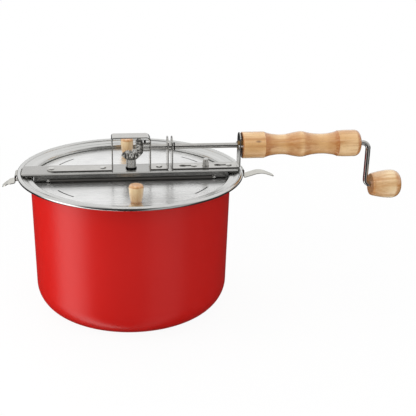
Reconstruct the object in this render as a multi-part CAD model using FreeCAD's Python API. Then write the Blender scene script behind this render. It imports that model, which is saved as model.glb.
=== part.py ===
import FreeCAD
import Part
import math
import os

V = FreeCAD.Vector
X_AXIS = V(1, 0, 0)
Y_AXIS = V(0, 1, 0)
Z_AXIS = V(0, 0, 1)

# Stovetop popcorn popper, millimetres.
# Z is up, X runs from the pot's axis to the crank handle, the origin is the centre of the pot's base.

# General fits
SHAFT_FIT = 0.05
BODY_GAP = 0.3
SEAT_GAP = 0.02

# Pot
POT_TOP_R = 114.0
POT_TAPER = 2.4
POT_CORNER_R = 30.5
POT_WALL = 1.5
POT_RIM_Z = 156.2
POT_BEAD_R = 2.6
ROLL_SIDES = 8

# Lid ring, one pressed sheet with a rolled hem
SHEET = 0.8
HEM_R = 2.5
HEM_OVERHANG = 10.8
HEM_RISE = 1.5
LEDGE_WIDTH = 12.1
LEDGE_DROP = 4.9
POT_LID_GAP = 0.6

# Crossbar, an upside-down channel across the lid
BAR_HALF_W = 16.0
BAR_SHEET = 1.0
BAR_FOLD = 1.2
BAR_OVER_HEM = 0.5
BAR_END_GAP = 0.9
BAR_STEP_GAP = 1.0
BAR_OVER_SHOULDER = 0.2
FOOT_LENGTH = 10.0
FOOT_WIDTH = 6.0
FOOT_INSET = 0.4

# Flaps and their hinges
FLAP_RIM_GAP = 1.8
HINGE_WIRE_R = 1.0
CURL_END_MARGIN = 7.2
LUG_GAP = 1.2
LUG_THICK = 1.2
LUG_WALL = 1.2
SLOT_MARGIN = 5.0
SLOT_WIDTH = 1.5
SLOT_FROM = 29.0
SLOT_TO = 46.0
FLAP_KNOB_MARGIN = 11.0
FLAP_KNOB_H = 19.0
FLAP_KNOB_R = 7.9
FLAP_KNOB_FOOT_R = 6.1
FLAP_SCREW_R = 1.75
FLAP_SCREW_HEAD_R = 3.6
FLAP_SCREW_HEAD_H = 1.6
FLAP_SCREW_GRIP = 12.5
FLAP_KNOB_BORE_L = 13.0

# Outline of both kinds of turned knob, as shares of their own length and radius
KNOB_WIDE_SHARE = 0.68
KNOB_BELLY_SHARE = 0.31
KNOB_NOSE_SHARE = 0.42

# Strap brackets
STRAP_W = 19.0
STRAP = 1.2
STRAP_BEND_R = 1.4
ARCH_LEFT_BEND_R = 2.0
ARCH_RIGHT_BEND_R = 4.6
GRIP_PLATE_BEND_R = 2.2
GEAR_LEG_GAP = 11.3
ARCH_HEADROOM = 3.0
STRAP_LEFT_INSET = 27.6
BEARING_STEP = 20.1
SECOND_BEARING_GAP = 3.8
BEARING_RISE = 12.2
GRIP_PLATE_INSET = 3.8
GRIP_PLATE_RISE = 15.2
RIVET_R = 2.0
RIVET_HEAD_R = 3.6
RIVET_HEAD_H = 1.6
RIVET_CLOSED_SHARE = 0.85
RING_RIVET_R = 1.6
RING_RIVET_HEAD_R = 2.6
RING_RIVET_HEAD_H = 1.0
CLIP_RIVET_INSET = 5.0
FOOT_RIVET_STEP = 10.5
INNER_KEYHOLE_SHARE = 0.389
NUT_SHARE = 0.592
KEYHOLE_LENGTH = 13.0
KEYHOLE_PLAY = 0.2
KEYHOLE_HEAD_PLAY = 0.5
STUD_R = 2.5
STUD_HEAD_R = 4.5
STUD_HEAD_H = 1.4
STUD_PROUD = 5.0
NUT_R = 4.1
NUT_H = 8.6
NUT_COLLAR_H = 1.3
NUT_DOME_SHARE = 0.78
NUT_BORE_END = 0.3

# Crank
ROD_R = 3.0
ROD_BEND_R = 7.0
ARM_GAP = 0.5
CRANK_THROW = 52.0
ROD_COLLAR_WALL = 1.95
ROD_COLLAR_GAP = 0.5
ROD_RING_WALL = 1.55
ROD_RING_THICK = 1.2
ROD_RING_GAP = 1.5
ROD_RING_MOUTH = 1.6

# Wooden grip, turned with two waists
GRIP_START_GAP = 2.2
GRIP_LENGTH = 145.0
GRIP_R = 15.5
GRIP_WAIST_R = 11.3
GRIP_END_ROUND = 5.0
GRIP_STEP_SHARE = 0.184
GRIP_LAST_SHARE = 0.785
GRIP_BORE_CLEAR = 0.5
GRIP_BEVEL = 1.2
GRIP_SHOULDER = 0.7
GRIP_SWELL = 0.5
GRIP_FAR_SHOULDER = 1.1
GRIP_FAR_WAIST_R = 10.9
GRIP_WAIST_SHARE = 0.25
GRIP_SWELL_SHARE = 0.485
GRIP_FAR_WAIST_SHARE = 0.775
GRIP_LIP = 14.0
GRIP_SCREW_R = 1.5
GRIP_SCREW_HEAD_R = 2.1
GRIP_SCREW_HEAD_H = 1.4
GRIP_SCREW_GAP = 0.4
GRIP_SCREW_L = 24.0
GRIP_BUSH_WALL = 1.3
GRIP_BUSH_LIP = 0.7
GRIP_BUSH_FLANGE_H = 1.5

# Crank knob
KNOB_LENGTH = 38.0
KNOB_R = 16.7
KNOB_FACE_R = 12.6
KNOB_RECESS_R = 6.5
KNOB_RECESS_H = 6.0
KNOB_PLAY = 0.04
SPINDLE_PROUD = 3.0
SPINDLE_NUT_WALL = 2.25
SPINDLE_NUT_H = 1.6

# Bevel gears, a mitre pair
TEETH = 12
PITCH_R = 10.2
FACE_WIDTH = 6.6
PRESSURE_ANGLE = 20.0
TOOTH_DEPTH_BELOW = 1.2
CONE_ANGLE = math.radians(45)
BACKLASH = 0.16
GEAR_OVER_BUSH = 13.1
LOW_HUB_WALL = 2.55
SIDE_HUB_WALL = 2.25
PIN_R = 1.2
PIN_PROUD = 2.6
PIN_UP_HUB = 5.0
PIN_FROM_LEG = 5.2
PIN_SUNK = 0.2

# Stirrer
SHAFT_BUSH_WALL = 1.45
SHAFT_BUSH_LIP = 1.9
SHAFT_BUSH_FLANGE_H = 1.5
SHAFT_BUSH_LENGTH = 6.0
SHAFT_FOOT_GAP = 1.2
COLLAR_WALL = 2.45
COLLAR_H = 2.6
STIR_WIRE_R = 1.6
STIR_WALL_GAP = 6.9
STIR_CORNER_GAP = 5.5
STIR_FLOOR_GAP = 0.8

# Spring clips
CLIP_SHEET = 0.8
CLIP_TRAVEL = 3.0
CLIP_BEND_R = 2.0
CLIP_FOLD_R = 1.6
ARCH_TONGUE_R = 22.0
DROOP_TONGUE_R = 8.0
CLIP_PLAY = 0.3
CLIP_UNDER_BAR = 0.2
CLIP_OVER_SHOULDER = 0.8
LEFT_CLIP_W = 20.0
RIGHT_CLIP_W = 15.0
CLIP_DROP_GAP = 1.8
TONGUE_ROUND_SHARE = 0.62
TONGUE_NOSE_SHARE = 0.75
TONGUE_SIDE_SHARE = 0.94
ARCH_TOP_OUT = 20.5
ARCH_TIP_OUT = 36.5
ARCH_FOOT_DROP = 9.8
ARCH_TOP_DROP = 3.6
DROOP_BEND_OUT = 7.5
DROOP_TIP_OUT = 14.8
DROOP_FOOT_DROP = 8.6
DROOP_BEND_DROP = 10.0
DROOP_TIP_DROP = 14.7
CLIP_TAIL = 9.5
LATCH_W = 8.0
CLIP_DIP_MARGIN = 0.7
CLIP_DIP_START = 3.4
CLIP_DIP_LENGTH = 3.2
CLIP_WINDOW_SIDE = 0.6
CLIP_WINDOW_START = 1.2

# Pot and lid ring, worked out from the sizes above
POT_BASE_R = POT_TOP_R - POT_TAPER
POT_INNER_R = POT_TOP_R - POT_WALL
POT_BEAD_MID_R = POT_INNER_R + POT_BEAD_R
POT_BEAD_OUTER_R = POT_BEAD_MID_R + POT_BEAD_R
POT_TOP_Z = POT_RIM_Z + POT_BEAD_R
HEM_OUTER_R = POT_BEAD_OUTER_R + HEM_OVERHANG
HEM_MID_R = HEM_OUTER_R - HEM_R
HEM_INNER_R = HEM_OUTER_R - 2 * HEM_R
DROP_MID_R = POT_INNER_R - POT_LID_GAP - SHEET / 2
DROP_INNER_R = DROP_MID_R - SHEET / 2
LEDGE_INNER_R = DROP_INNER_R - LEDGE_WIDTH
SHOULDER_Z = POT_TOP_Z + BODY_GAP + SHEET / 2
HEM_Z = SHOULDER_Z + HEM_RISE
LEDGE_Z = POT_TOP_Z - LEDGE_DROP

# Crossbar, flaps and hinges
BAR_TOP_Z = HEM_Z + HEM_R + BAR_OVER_HEM
BAR_END_R = HEM_INNER_R - BAR_END_GAP
BAR_UNDER_Z = BAR_TOP_Z - BAR_SHEET
FLAP_TOP_Z = LEDGE_Z + BODY_GAP + SHEET
FLAP_LOW_Z = FLAP_TOP_Z - SHEET
CURL_INNER_R = HINGE_WIRE_R + SHAFT_FIT
CURL_R = CURL_INNER_R + SHEET
CURL_HALF_L = LEDGE_INNER_R - CURL_END_MARGIN
LUG_X = CURL_HALF_L + LUG_GAP
HINGE_Y = BAR_HALF_W + BODY_GAP + CURL_R
HINGE_Z = FLAP_LOW_Z + CURL_R
FLAP_R = DROP_INNER_R - FLAP_RIM_GAP
FLAP_KNOB_Y = LEDGE_INNER_R - FLAP_KNOB_MARGIN
SLOT_RADIUS = LEDGE_INNER_R - SLOT_MARGIN

# Shafts, bushes and gear heights
BORE_R = ROD_R + SHAFT_FIT
SHAFT_BUSH_R = BORE_R + SHAFT_BUSH_WALL
SHAFT_BUSH_TOP_Z = BAR_TOP_Z + SHAFT_BUSH_FLANGE_H
SHAFT_BUSH_LOW_Z = BAR_TOP_Z - SHAFT_BUSH_LENGTH
LOW_HUB_R = BORE_R + LOW_HUB_WALL
SIDE_HUB_R = BORE_R + SIDE_HUB_WALL
ROD_Z = SHAFT_BUSH_TOP_Z + GEAR_OVER_BUSH + PITCH_R
STIR_WIRE_Z = POT_WALL + STIR_FLOOR_GAP + STIR_WIRE_R
STIR_REACH = POT_INNER_R - STIR_WALL_GAP - STIR_WIRE_R
STIR_BEND_R = POT_CORNER_R - STIR_CORNER_GAP
STIR_TIP_Z = POT_CORNER_R + STIR_CORNER_GAP

# Brackets along the crossbar
STRAP_MID_Z = BAR_TOP_Z + STRAP / 2
STRAP_TOP_Z = BAR_TOP_Z + STRAP
STRAP_LEFT_X = STRAP_LEFT_INSET - BAR_END_R
GEAR_LEG_X = PITCH_R + GEAR_LEG_GAP
GEAR_LEG_FACE_X = GEAR_LEG_X - STRAP / 2
GEAR_TOP_Z = ROD_Z + PITCH_R + ARCH_HEADROOM
BEARING_X = GEAR_LEG_X + BEARING_STEP
SECOND_BEARING_X = BEARING_X + STRAP + SECOND_BEARING_GAP
BEARING_TOP_Z = ROD_Z + BEARING_RISE
GRIP_PLATE_X = HEM_OUTER_R - GRIP_PLATE_INSET
GRIP_PLATE_TOP_Z = ROD_Z + GRIP_PLATE_RISE
GEAR_BRACKET_RIVETS = (-GEAR_LEG_X - FOOT_RIVET_STEP, GEAR_LEG_X + FOOT_RIVET_STEP)

# Clips and the rivets that line up with them
CLIP_DROP_X = HEM_OUTER_R + CLIP_DROP_GAP
CLIP_DIP_END_X = HEM_INNER_R - CLIP_TRAVEL - CLIP_DIP_MARGIN
CLIP_DIP_X = CLIP_DIP_END_X - CLIP_DIP_LENGTH
CLIP_FLAT_Z = BAR_UNDER_Z - CLIP_UNDER_BAR - CLIP_SHEET / 2
CLIP_EXIT_Z = SHOULDER_Z + SHEET + CLIP_OVER_SHOULDER
CLIP_GRIP = STRAP_TOP_Z - CLIP_FLAT_Z + CLIP_SHEET / 2 + SHAFT_FIT + CLIP_UNDER_BAR
LEFT_CLIP_RIVET_X = STRAP_LEFT_X + CLIP_RIVET_INSET
OUTER_KEYHOLE_X = CLIP_DIP_X - CLIP_DIP_START
INNER_KEYHOLE_X = SECOND_BEARING_X + (OUTER_KEYHOLE_X - SECOND_BEARING_X) * INNER_KEYHOLE_SHARE
NUT_X = SECOND_BEARING_X + (OUTER_KEYHOLE_X - SECOND_BEARING_X) * NUT_SHARE
KEYHOLE_RIVETS = (INNER_KEYHOLE_X, OUTER_KEYHOLE_X)

# Grip, crank arm and knob
GRIP_X = GRIP_PLATE_X + STRAP / 2 + GRIP_START_GAP
GRIP_BUSH_R = ROD_R + GRIP_BUSH_WALL
GRIP_BUSH_FLANGE_R = GRIP_BUSH_R + GRIP_BUSH_LIP
GRIP_SCREW_Y = GRIP_BUSH_FLANGE_R + GRIP_SCREW_GAP + GRIP_SCREW_HEAD_R
ARM_X = GRIP_X + GRIP_LENGTH + ARM_GAP + ROD_BEND_R
KNOB_Z = ROD_Z - CRANK_THROW
KNOB_X = ARM_X + ROD_BEND_R + BODY_GAP


# Outlines and plain solids


def corner_data(points, radii):
    """Work out each rounded corner of an open path: entry, exit, centre, middle and turn side."""
    corners = []
    for i in range(1, len(points) - 1):
        here = points[i]
        u = (here - points[i - 1]).normalize()
        w = (points[i + 1] - here).normalize()
        cross = u.x * w.y - u.y * w.x
        half = math.acos(max(-1.0, min(1.0, u.dot(w)))) / 2
        radius = radii[i - 1]
        reach = radius * math.tan(half)
        side = 1.0 if cross > 0 else -1.0
        entry = here - u * reach
        leave = here + w * reach
        centre = entry + V(-u.y, u.x, 0) * (side * radius)
        corners.append((entry, leave, centre, radius, side, (here - centre).normalize()))
    return corners


def path_edges(points, radii, offset=0.0):
    """Lines and tangent arcs along a flat path, moved sideways by an offset."""
    first_way = (points[1] - points[0]).normalize()
    last_way = (points[-1] - points[-2]).normalize()
    start = points[0] + V(-first_way.y, first_way.x, 0) * offset
    finish = points[-1] + V(-last_way.y, last_way.x, 0) * offset
    edges = []
    at = start
    for entry, leave, centre, radius, side, out in corner_data(points, radii):
        size = (radius - side * offset) / radius
        a = centre + (entry - centre) * size
        b = centre + (leave - centre) * size
        middle = centre + out * (radius * size)
        if (a - at).Length > 1e-6:
            edges.append(Part.makeLine(at, a))
        edges.append(Part.Arc(a, middle, b).toShape())
        at = b
    if (finish - at).Length > 1e-6:
        edges.append(Part.makeLine(at, finish))
    return edges, start, finish


def strip_face(points, radii, thickness):
    """Face of a bent sheet: the flat path thickened equally to both sides."""
    upper, a0, a1 = path_edges(points, radii, thickness / 2)
    lower, b0, b1 = path_edges(points, radii, -thickness / 2)
    edges = upper + lower + [Part.makeLine(a0, b0), Part.makeLine(a1, b1)]
    wire = Part.Wire(Part.__sortEdges__(edges))
    return Part.Face(wire)


def flat(points):
    return [V(a, b, 0) for a, b in points]


def folded_face(points, thickness):
    """Face of a sheet folded square: the flat path thickened equally, with mitred corners."""
    ways = [(b - a).normalize() for a, b in zip(points, points[1:])]
    ways = [ways[0]] + ways + [ways[-1]]
    upper = []
    lower = []
    for point, u, w in zip(points, ways, ways[1:]):
        out = V(-u.y - w.y, u.x + w.x, 0)
        out.normalize()
        reach = thickness / 2 / (out.x * -u.y + out.y * u.x)
        upper.append(point + out * reach)
        lower.append(point - out * reach)
    corners = upper + lower[::-1]
    return Part.Face(Part.makePolygon(corners + [corners[0]]))


def stand_up(shape):
    """Turn a shape drawn flat so that its second axis points up."""
    shape.rotate(V(0, 0, 0), X_AXIS, 90)
    return shape


def bent_strip(points, radii, thickness, width):
    """Sheet strip bent along a path in the XZ plane, centred on Y."""
    face = stand_up(strip_face(flat(points), radii, thickness))
    face.translate(V(0, width / 2, 0))
    return face.extrude(V(0, -width, 0))


def turned(points):
    """Solid turned about Z from a closed outline of (radius, height) points."""
    corners = [V(r, 0, z) for r, z in points]
    wire = Part.makePolygon(corners + [corners[0]])
    return Part.Face(wire).revolve(V(0, 0, 0), Z_AXIS, 360)


def rolled_edge(mid_r, roll_r, z):
    """Section of a rolled sheet edge, its sides standing on the round that it stands for."""
    corner_r = roll_r / math.cos(math.pi / ROLL_SIDES)
    corners = []
    for k in range(ROLL_SIDES):
        angle = math.pi * (2 * k + 1) / ROLL_SIDES
        corners.append(V(mid_r + corner_r * math.cos(angle), z + corner_r * math.sin(angle), 0))
    return Part.Face(Part.makePolygon(corners + [corners[0]]))


def spun(sections):
    """Solid spun about Z from flat sections that run into each other."""
    rings = [stand_up(section).revolve(V(0, 0, 0), Z_AXIS, 360) for section in sections]
    return rings[0].multiFuse(rings[1:]).removeSplitter()


def cylinder(radius, length, base, axis=Z_AXIS):
    return Part.makeCylinder(radius, length, base, axis)


def tube(outer, inner, length, base, axis=Z_AXIS):
    return cylinder(outer, length, base, axis).cut(cylinder(inner, length, base, axis))


def box(x0, x1, y0, y1, z0, z1):
    return Part.makeBox(x1 - x0, y1 - y0, z1 - z0, V(x0, y0, z0))


def round_wire(points, radii, wire_r):
    """Round wire along a path of straight runs and tangent arcs in the XZ plane."""
    edges, start, _ = path_edges(flat(points), radii)
    path = stand_up(Part.Wire(Part.__sortEdges__(edges)))
    first = path.OrderedVertexes[0].Point
    way = path.OrderedEdges[0].tangentAt(path.OrderedEdges[0].FirstParameter)
    section = Part.Wire(Part.makeCircle(wire_r, first, way))
    return path.makePipeShell([section], True, False)


def pill(length, radius, height, base):
    """Upright solid of a slot: two round ends joined by a straight middle, along X."""
    middle = box(base.x, base.x + length, base.y - radius, base.y + radius, base.z, base.z + height)
    ends = [cylinder(radius, height, base + V(x, 0, 0)) for x in (0, length)]
    return middle.multiFuse(ends).removeSplitter()


def rivet(x, y, seat_z, grip, shank_r=RIVET_R, head_r=RIVET_HEAD_R, head_h=RIVET_HEAD_H):
    """Dome-headed rivet: dome above its seat, shank through the grip, flat closed head below."""
    closed_r = head_r * RIVET_CLOSED_SHARE
    low = -grip - head_h / 2
    shoulder = (head_r * 3 / 4, head_h * 4 / 5)
    outline = [(0, low), (closed_r, low), (closed_r, -grip), (shank_r, -grip), (shank_r, 0)]
    outline += [(head_r, 0), (head_r, head_h / 3), shoulder, (head_r / 3, head_h), (0, head_h)]
    solid = turned(outline)
    solid.translate(V(x, y, seat_z))
    return solid


def mirrored_y(shape):
    return shape.mirror(V(0, 0, 0), Y_AXIS)


# Pot


def pot():
    """Drawn aluminium pot: flat base, large corner, slight taper, rim rolled outward."""
    half_wall = POT_WALL / 2
    foot = V(0.0, half_wall, 0)
    corner = V(POT_BASE_R - half_wall, half_wall, 0)
    rim = V(POT_TOP_R - half_wall, POT_RIM_Z, 0)
    section = strip_face([foot, corner, rim], [POT_CORNER_R - half_wall], POT_WALL)
    return spun([section, rolled_edge(POT_BEAD_MID_R, POT_BEAD_R, POT_RIM_Z)])


# Lid ring and crossbar


def clip_window(side, clip_w):
    """Notch in the hem and shoulder that lets a spring clip out."""
    half = clip_w / 2 + CLIP_WINDOW_SIDE
    x_in = POT_BEAD_OUTER_R + CLIP_WINDOW_START
    x_out = HEM_OUTER_R + HEM_R
    low = HEM_Z - 2 * HEM_R
    high = CLIP_EXIT_Z + CLIP_SHEET / 2 + BODY_GAP
    block = box(x_in, x_out, -half, half, low, high)
    return block if side > 0 else block.mirror(V(0, 0, 0), X_AXIS)


def ring_rivet_places():
    x = LEDGE_INNER_R + FOOT_LENGTH / 2
    y = BAR_HALF_W - BAR_SHEET - FOOT_WIDTH / 2
    return [(sx * x, sy * y) for sx in (-1, 1) for sy in (-1, 1)]


def lid_ring():
    """Pressed ring: ledge for the flaps, drop wall inside the pot, shoulder over its rim, rolled hem."""
    ledge_mid = LEDGE_Z - SHEET / 2
    points = flat([
        (LEDGE_INNER_R, ledge_mid),
        (DROP_MID_R, ledge_mid),
        (DROP_MID_R, SHOULDER_Z),
        (POT_BEAD_OUTER_R, SHOULDER_Z),
        (HEM_INNER_R + SHEET / 2, HEM_Z),
    ])
    ring = spun([folded_face(points, SHEET), rolled_edge(HEM_MID_R, HEM_R, HEM_Z)])
    ring = ring.cut(clip_window(-1, LEFT_CLIP_W))
    ring = ring.cut(clip_window(1, RIGHT_CLIP_W))
    for x, y in ring_rivet_places():
        ring = ring.cut(cylinder(RING_RIVET_R + SHAFT_FIT, SHEET, V(x, y, LEDGE_Z - SHEET)))
    return ring


def ring_rivets():
    """Four rivets that hold the crossbar's feet to the ring's ledge."""
    seat = LEDGE_Z + BAR_SHEET
    grip = BAR_SHEET + SHEET
    sizes = (RING_RIVET_R, RING_RIVET_HEAD_R, RING_RIVET_HEAD_H)
    return [rivet(x, y, seat, grip, *sizes) for x, y in ring_rivet_places()]


def hinge_lug(side, y_side):
    """Ear turned out from the crossbar's wall that holds one end of a hinge wire."""
    x0 = LUG_X if side > 0 else -LUG_X - LUG_THICK
    round_r = HINGE_WIRE_R + LUG_WALL
    ear = cylinder(round_r, LUG_THICK, V(x0, -HINGE_Y, HINGE_Z), X_AXIS)
    web = box(x0, x0 + LUG_THICK, -HINGE_Y, -BAR_HALF_W + BAR_SHEET, HINGE_Z - round_r, HINGE_Z + round_r)
    ear = ear.fuse(web)
    ear = ear.cut(cylinder(HINGE_WIRE_R + SEAT_GAP, LUG_THICK, V(x0, -HINGE_Y, HINGE_Z), X_AXIS))
    return ear if y_side < 0 else mirrored_y(ear)


def crossbar():
    """Folded channel: top plate, two side walls, feet turned in over the ring's ledge, hinge ears."""
    low = LEDGE_Z
    w = BAR_HALF_W
    inner_w = w - BAR_SHEET
    half = [(inner_w, low), (w, low), (w, BAR_TOP_Z - BAR_FOLD), (w - BAR_FOLD, BAR_TOP_Z)]
    under = [(-inner_w, BAR_UNDER_Z), (inner_w, BAR_UNDER_Z)]
    outline = half + [(-y, z) for y, z in reversed(half)] + under
    corners = [V(-BAR_END_R, y, z) for y, z in outline]
    channel = Part.Face(Part.makePolygon(corners + [corners[0]])).extrude(V(2 * BAR_END_R, 0, 0))
    foot_in = LEDGE_INNER_R + FOOT_INSET
    for sx in (-1, 1):
        for sy in (-1, 1):
            xs = sorted((sx * foot_in, sx * (foot_in + FOOT_LENGTH)))
            ys = sorted((sy * inner_w, sy * (inner_w - FOOT_WIDTH)))
            channel = channel.fuse(box(xs[0], xs[1], ys[0], ys[1], low, low + BAR_SHEET))
            channel = channel.fuse(hinge_lug(sx, sy))
    height = BAR_TOP_Z - low
    channel = channel.common(cylinder(BAR_END_R, height, V(0, 0, low)))
    step_r = DROP_INNER_R - BAR_STEP_GAP
    step_h = HEM_Z + SHEET / 2 + BAR_OVER_SHOULDER - low
    channel = channel.cut(tube(BAR_END_R + height, step_r, step_h, V(0, 0, low)))
    for x, y in ring_rivet_places():
        channel = channel.cut(cylinder(RING_RIVET_R + SHAFT_FIT, BAR_SHEET, V(x, y, low)))
    holes = [(x, RIVET_R) for x in (LEFT_CLIP_RIVET_X,) + GEAR_BRACKET_RIVETS + KEYHOLE_RIVETS]
    holes += [(NUT_X, STUD_R), (0, SHAFT_BUSH_R)]
    for x, radius in holes:
        channel = channel.cut(cylinder(radius + SHAFT_FIT, BAR_SHEET, V(x, 0, BAR_UNDER_Z)))
    return channel.removeSplitter()


# Flaps


def flap():
    """Front flap: D-shaped sheet, straight edge curled round the hinge wire, two steam slots."""
    plate = cylinder(FLAP_R, SHEET, V(0, 0, FLAP_LOW_Z))
    plate = plate.cut(box(-FLAP_R, FLAP_R, -HINGE_Y, FLAP_R, FLAP_LOW_Z, FLAP_TOP_Z))
    notch_y = -HINGE_Y - HINGE_WIRE_R - LUG_WALL - LUG_GAP
    for side in (-1, 1):
        xs = sorted((side * CURL_HALF_L, side * (LUG_X + LUG_THICK + LUG_GAP)))
        plate = plate.cut(box(xs[0], xs[1], notch_y, 0, FLAP_LOW_Z, FLAP_TOP_Z))
        plate = plate.cut(steam_slot(side))
    base = V(-CURL_HALF_L, -HINGE_Y, HINGE_Z)
    curl = tube(CURL_R, CURL_INNER_R, 2 * CURL_HALF_L, base, X_AXIS)
    plate = plate.cut(cylinder(CURL_INNER_R, 2 * CURL_HALF_L, base, X_AXIS))
    solid = plate.fuse(curl).removeSplitter()
    return solid.cut(cylinder(FLAP_SCREW_R + SHAFT_FIT, SHEET, V(0, -FLAP_KNOB_Y, FLAP_LOW_Z)))


def steam_slot(side):
    """Narrow slot that follows the flap's round edge."""
    centre = V(0, 0, FLAP_LOW_Z)
    ring = tube(SLOT_RADIUS + SLOT_WIDTH / 2, SLOT_RADIUS - SLOT_WIDTH / 2, SHEET, centre)
    reach = 2 * SLOT_RADIUS
    rays = [centre]
    for angle in (SLOT_FROM, SLOT_TO):
        a = math.radians(angle)
        rays.append(centre + V(side * reach * math.cos(a), -reach * math.sin(a), 0))
    wedge = Part.Face(Part.makePolygon(rays + [rays[0]])).extrude(V(0, 0, SHEET))
    return ring.common(wedge)


def hinge_wire():
    """Straight wire through the front flap's curl, held in the crossbar's ears."""
    half = LUG_X + LUG_THICK + HINGE_WIRE_R
    return cylinder(HINGE_WIRE_R, 2 * half, V(-half, -HINGE_Y, HINGE_Z), X_AXIS)


def turned_knob(length, foot_r, wide_r, bore_r, bore_depth):
    """Turned wooden knob: narrow foot, swelling side, rounded nose, bored from the foot."""
    wide_at = length * KNOB_WIDE_SHARE
    nose = wide_r * KNOB_NOSE_SHARE
    nose_r = wide_r - nose
    belly = V((foot_r + wide_r) / 2, 0, length * KNOB_BELLY_SHARE)
    brow = V(wide_r - nose * KNOB_NOSE_SHARE, 0, length - nose / 2)
    side = Part.Arc(V(foot_r, 0, 0), belly, V(wide_r, 0, wide_at))
    crown = Part.Arc(V(wide_r, 0, wide_at), brow, V(nose_r, 0, length))
    corners = [V(nose_r, 0, length), V(0, 0, length), V(0, 0, 0), V(foot_r, 0, 0)]
    edges = [Part.makeLine(a, b) for a, b in zip(corners, corners[1:])]
    wire = Part.Wire(Part.__sortEdges__(edges + [side.toShape(), crown.toShape()]))
    solid = Part.Face(wire).revolve(V(0, 0, 0), Z_AXIS, 360)
    return solid.cut(cylinder(bore_r, bore_depth, V(0, 0, 0)))


def flap_knob():
    bore_r = FLAP_SCREW_R + SHAFT_FIT
    knob = turned_knob(FLAP_KNOB_H, FLAP_KNOB_FOOT_R, FLAP_KNOB_R, bore_r, FLAP_KNOB_BORE_L)
    knob.translate(V(0, -FLAP_KNOB_Y, FLAP_TOP_Z + SEAT_GAP))
    return knob


def flap_knob_screw():
    """Pan-head screw up through the flap into the knob."""
    seat = FLAP_LOW_Z - SEAT_GAP
    low = seat - FLAP_SCREW_HEAD_H
    bevel = FLAP_SCREW_HEAD_H / 2
    tip = FLAP_TOP_Z + FLAP_SCREW_GRIP
    outline = [(0, low), (FLAP_SCREW_HEAD_R - bevel, low), (FLAP_SCREW_HEAD_R, low + bevel)]
    outline += [(FLAP_SCREW_HEAD_R, seat), (FLAP_SCREW_R, seat), (FLAP_SCREW_R, tip), (0, tip)]
    screw = turned(outline)
    screw.translate(V(0, -FLAP_KNOB_Y, 0))
    return screw


# Brackets on the crossbar


def rounded_end(x, end):
    """Cutter that rounds the end of a strap: a standing end at a height, or a lying end at its own x."""
    half = STRAP_W / 2
    lump = box(-half, 0, -half, half, -STRAP, STRAP)
    lump = lump.cut(cylinder(half, 2 * STRAP, V(0, 0, -STRAP)))
    if end is not None:
        lump.rotate(V(0, 0, 0), Y_AXIS, 90)
        lump.translate(V(x, 0, end - half))
        return lump
    lump.translate(V(x + half, 0, STRAP_MID_Z))
    return lump


def through_strap(radius, x, y=0.0):
    """Bore along X through a plate that stands at x, level with the crank rod."""
    return cylinder(radius, 2 * STRAP, V(x - STRAP, y, ROD_Z), X_AXIS)


def through_foot(radius, x):
    """Bore along Z through a strap's foot on the crossbar."""
    return cylinder(radius, STRAP, V(x, 0, BAR_TOP_Z))


def gear_bracket():
    """One folded strap: left foot, arch over the gears, right foot, first bearing plate."""
    points = [
        (STRAP_LEFT_X, STRAP_MID_Z),
        (-GEAR_LEG_X, STRAP_MID_Z),
        (-GEAR_LEG_X, GEAR_TOP_Z),
        (GEAR_LEG_X, GEAR_TOP_Z),
        (GEAR_LEG_X, STRAP_MID_Z),
        (BEARING_X, STRAP_MID_Z),
        (BEARING_X, BEARING_TOP_Z),
    ]
    bends = [STRAP_BEND_R, ARCH_LEFT_BEND_R, ARCH_RIGHT_BEND_R, STRAP_BEND_R, STRAP_BEND_R]
    strap = bent_strip(points, bends, STRAP, STRAP_W)
    cutters = [rounded_end(BEARING_X, BEARING_TOP_Z), rounded_end(STRAP_LEFT_X, None)]
    cutters += [through_strap(BORE_R, x) for x in (GEAR_LEG_X, BEARING_X)]
    cutters += [through_foot(RIVET_R + SHAFT_FIT, x) for x in (LEFT_CLIP_RIVET_X,) + GEAR_BRACKET_RIVETS]
    for cutter in cutters:
        strap = strap.cut(cutter)
    return strap


def grip_bracket():
    """Second strap: bearing plate, keyhole-slotted foot, end plate that carries the grip."""
    points = [
        (SECOND_BEARING_X, BEARING_TOP_Z),
        (SECOND_BEARING_X, STRAP_MID_Z),
        (GRIP_PLATE_X, STRAP_MID_Z),
        (GRIP_PLATE_X, GRIP_PLATE_TOP_Z),
    ]
    strap = bent_strip(points, [STRAP_BEND_R, GRIP_PLATE_BEND_R], STRAP, STRAP_W)
    cutters = [rounded_end(SECOND_BEARING_X, BEARING_TOP_Z), rounded_end(GRIP_PLATE_X, GRIP_PLATE_TOP_Z)]
    cutters += [through_strap(BORE_R, SECOND_BEARING_X), through_strap(GRIP_BUSH_R + SEAT_GAP, GRIP_PLATE_X)]
    screw_ys = (-GRIP_SCREW_Y, GRIP_SCREW_Y)
    cutters += [through_strap(GRIP_SCREW_R + SEAT_GAP, GRIP_PLATE_X, y) for y in screw_ys]
    cutters += [through_foot(RIVET_HEAD_R + KEYHOLE_HEAD_PLAY, x - KEYHOLE_LENGTH) for x in KEYHOLE_RIVETS]
    cutters += [keyhole_neck(x) for x in KEYHOLE_RIVETS] + [through_foot(STUD_R + SHAFT_FIT, NUT_X)]
    for cutter in cutters:
        strap = strap.cut(cutter)
    return strap


def keyhole_neck(x):
    """Narrow run of a keyhole, from its wide end to where the rivet stands."""
    start = V(x - KEYHOLE_LENGTH, 0, BAR_TOP_Z)
    return pill(KEYHOLE_LENGTH, RIVET_R + KEYHOLE_PLAY, STRAP, start)


def strap_rivets():
    """Two rivets that hold the gear bracket to the crossbar."""
    return [rivet(x, 0, STRAP_TOP_Z, STRAP + BAR_SHEET) for x in GEAR_BRACKET_RIVETS]


def left_clip_rivet():
    """Rivet shared by the strap's left end, the crossbar and the left clip's slot."""
    return [rivet(LEFT_CLIP_RIVET_X, 0, STRAP_TOP_Z, CLIP_GRIP)]


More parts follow.
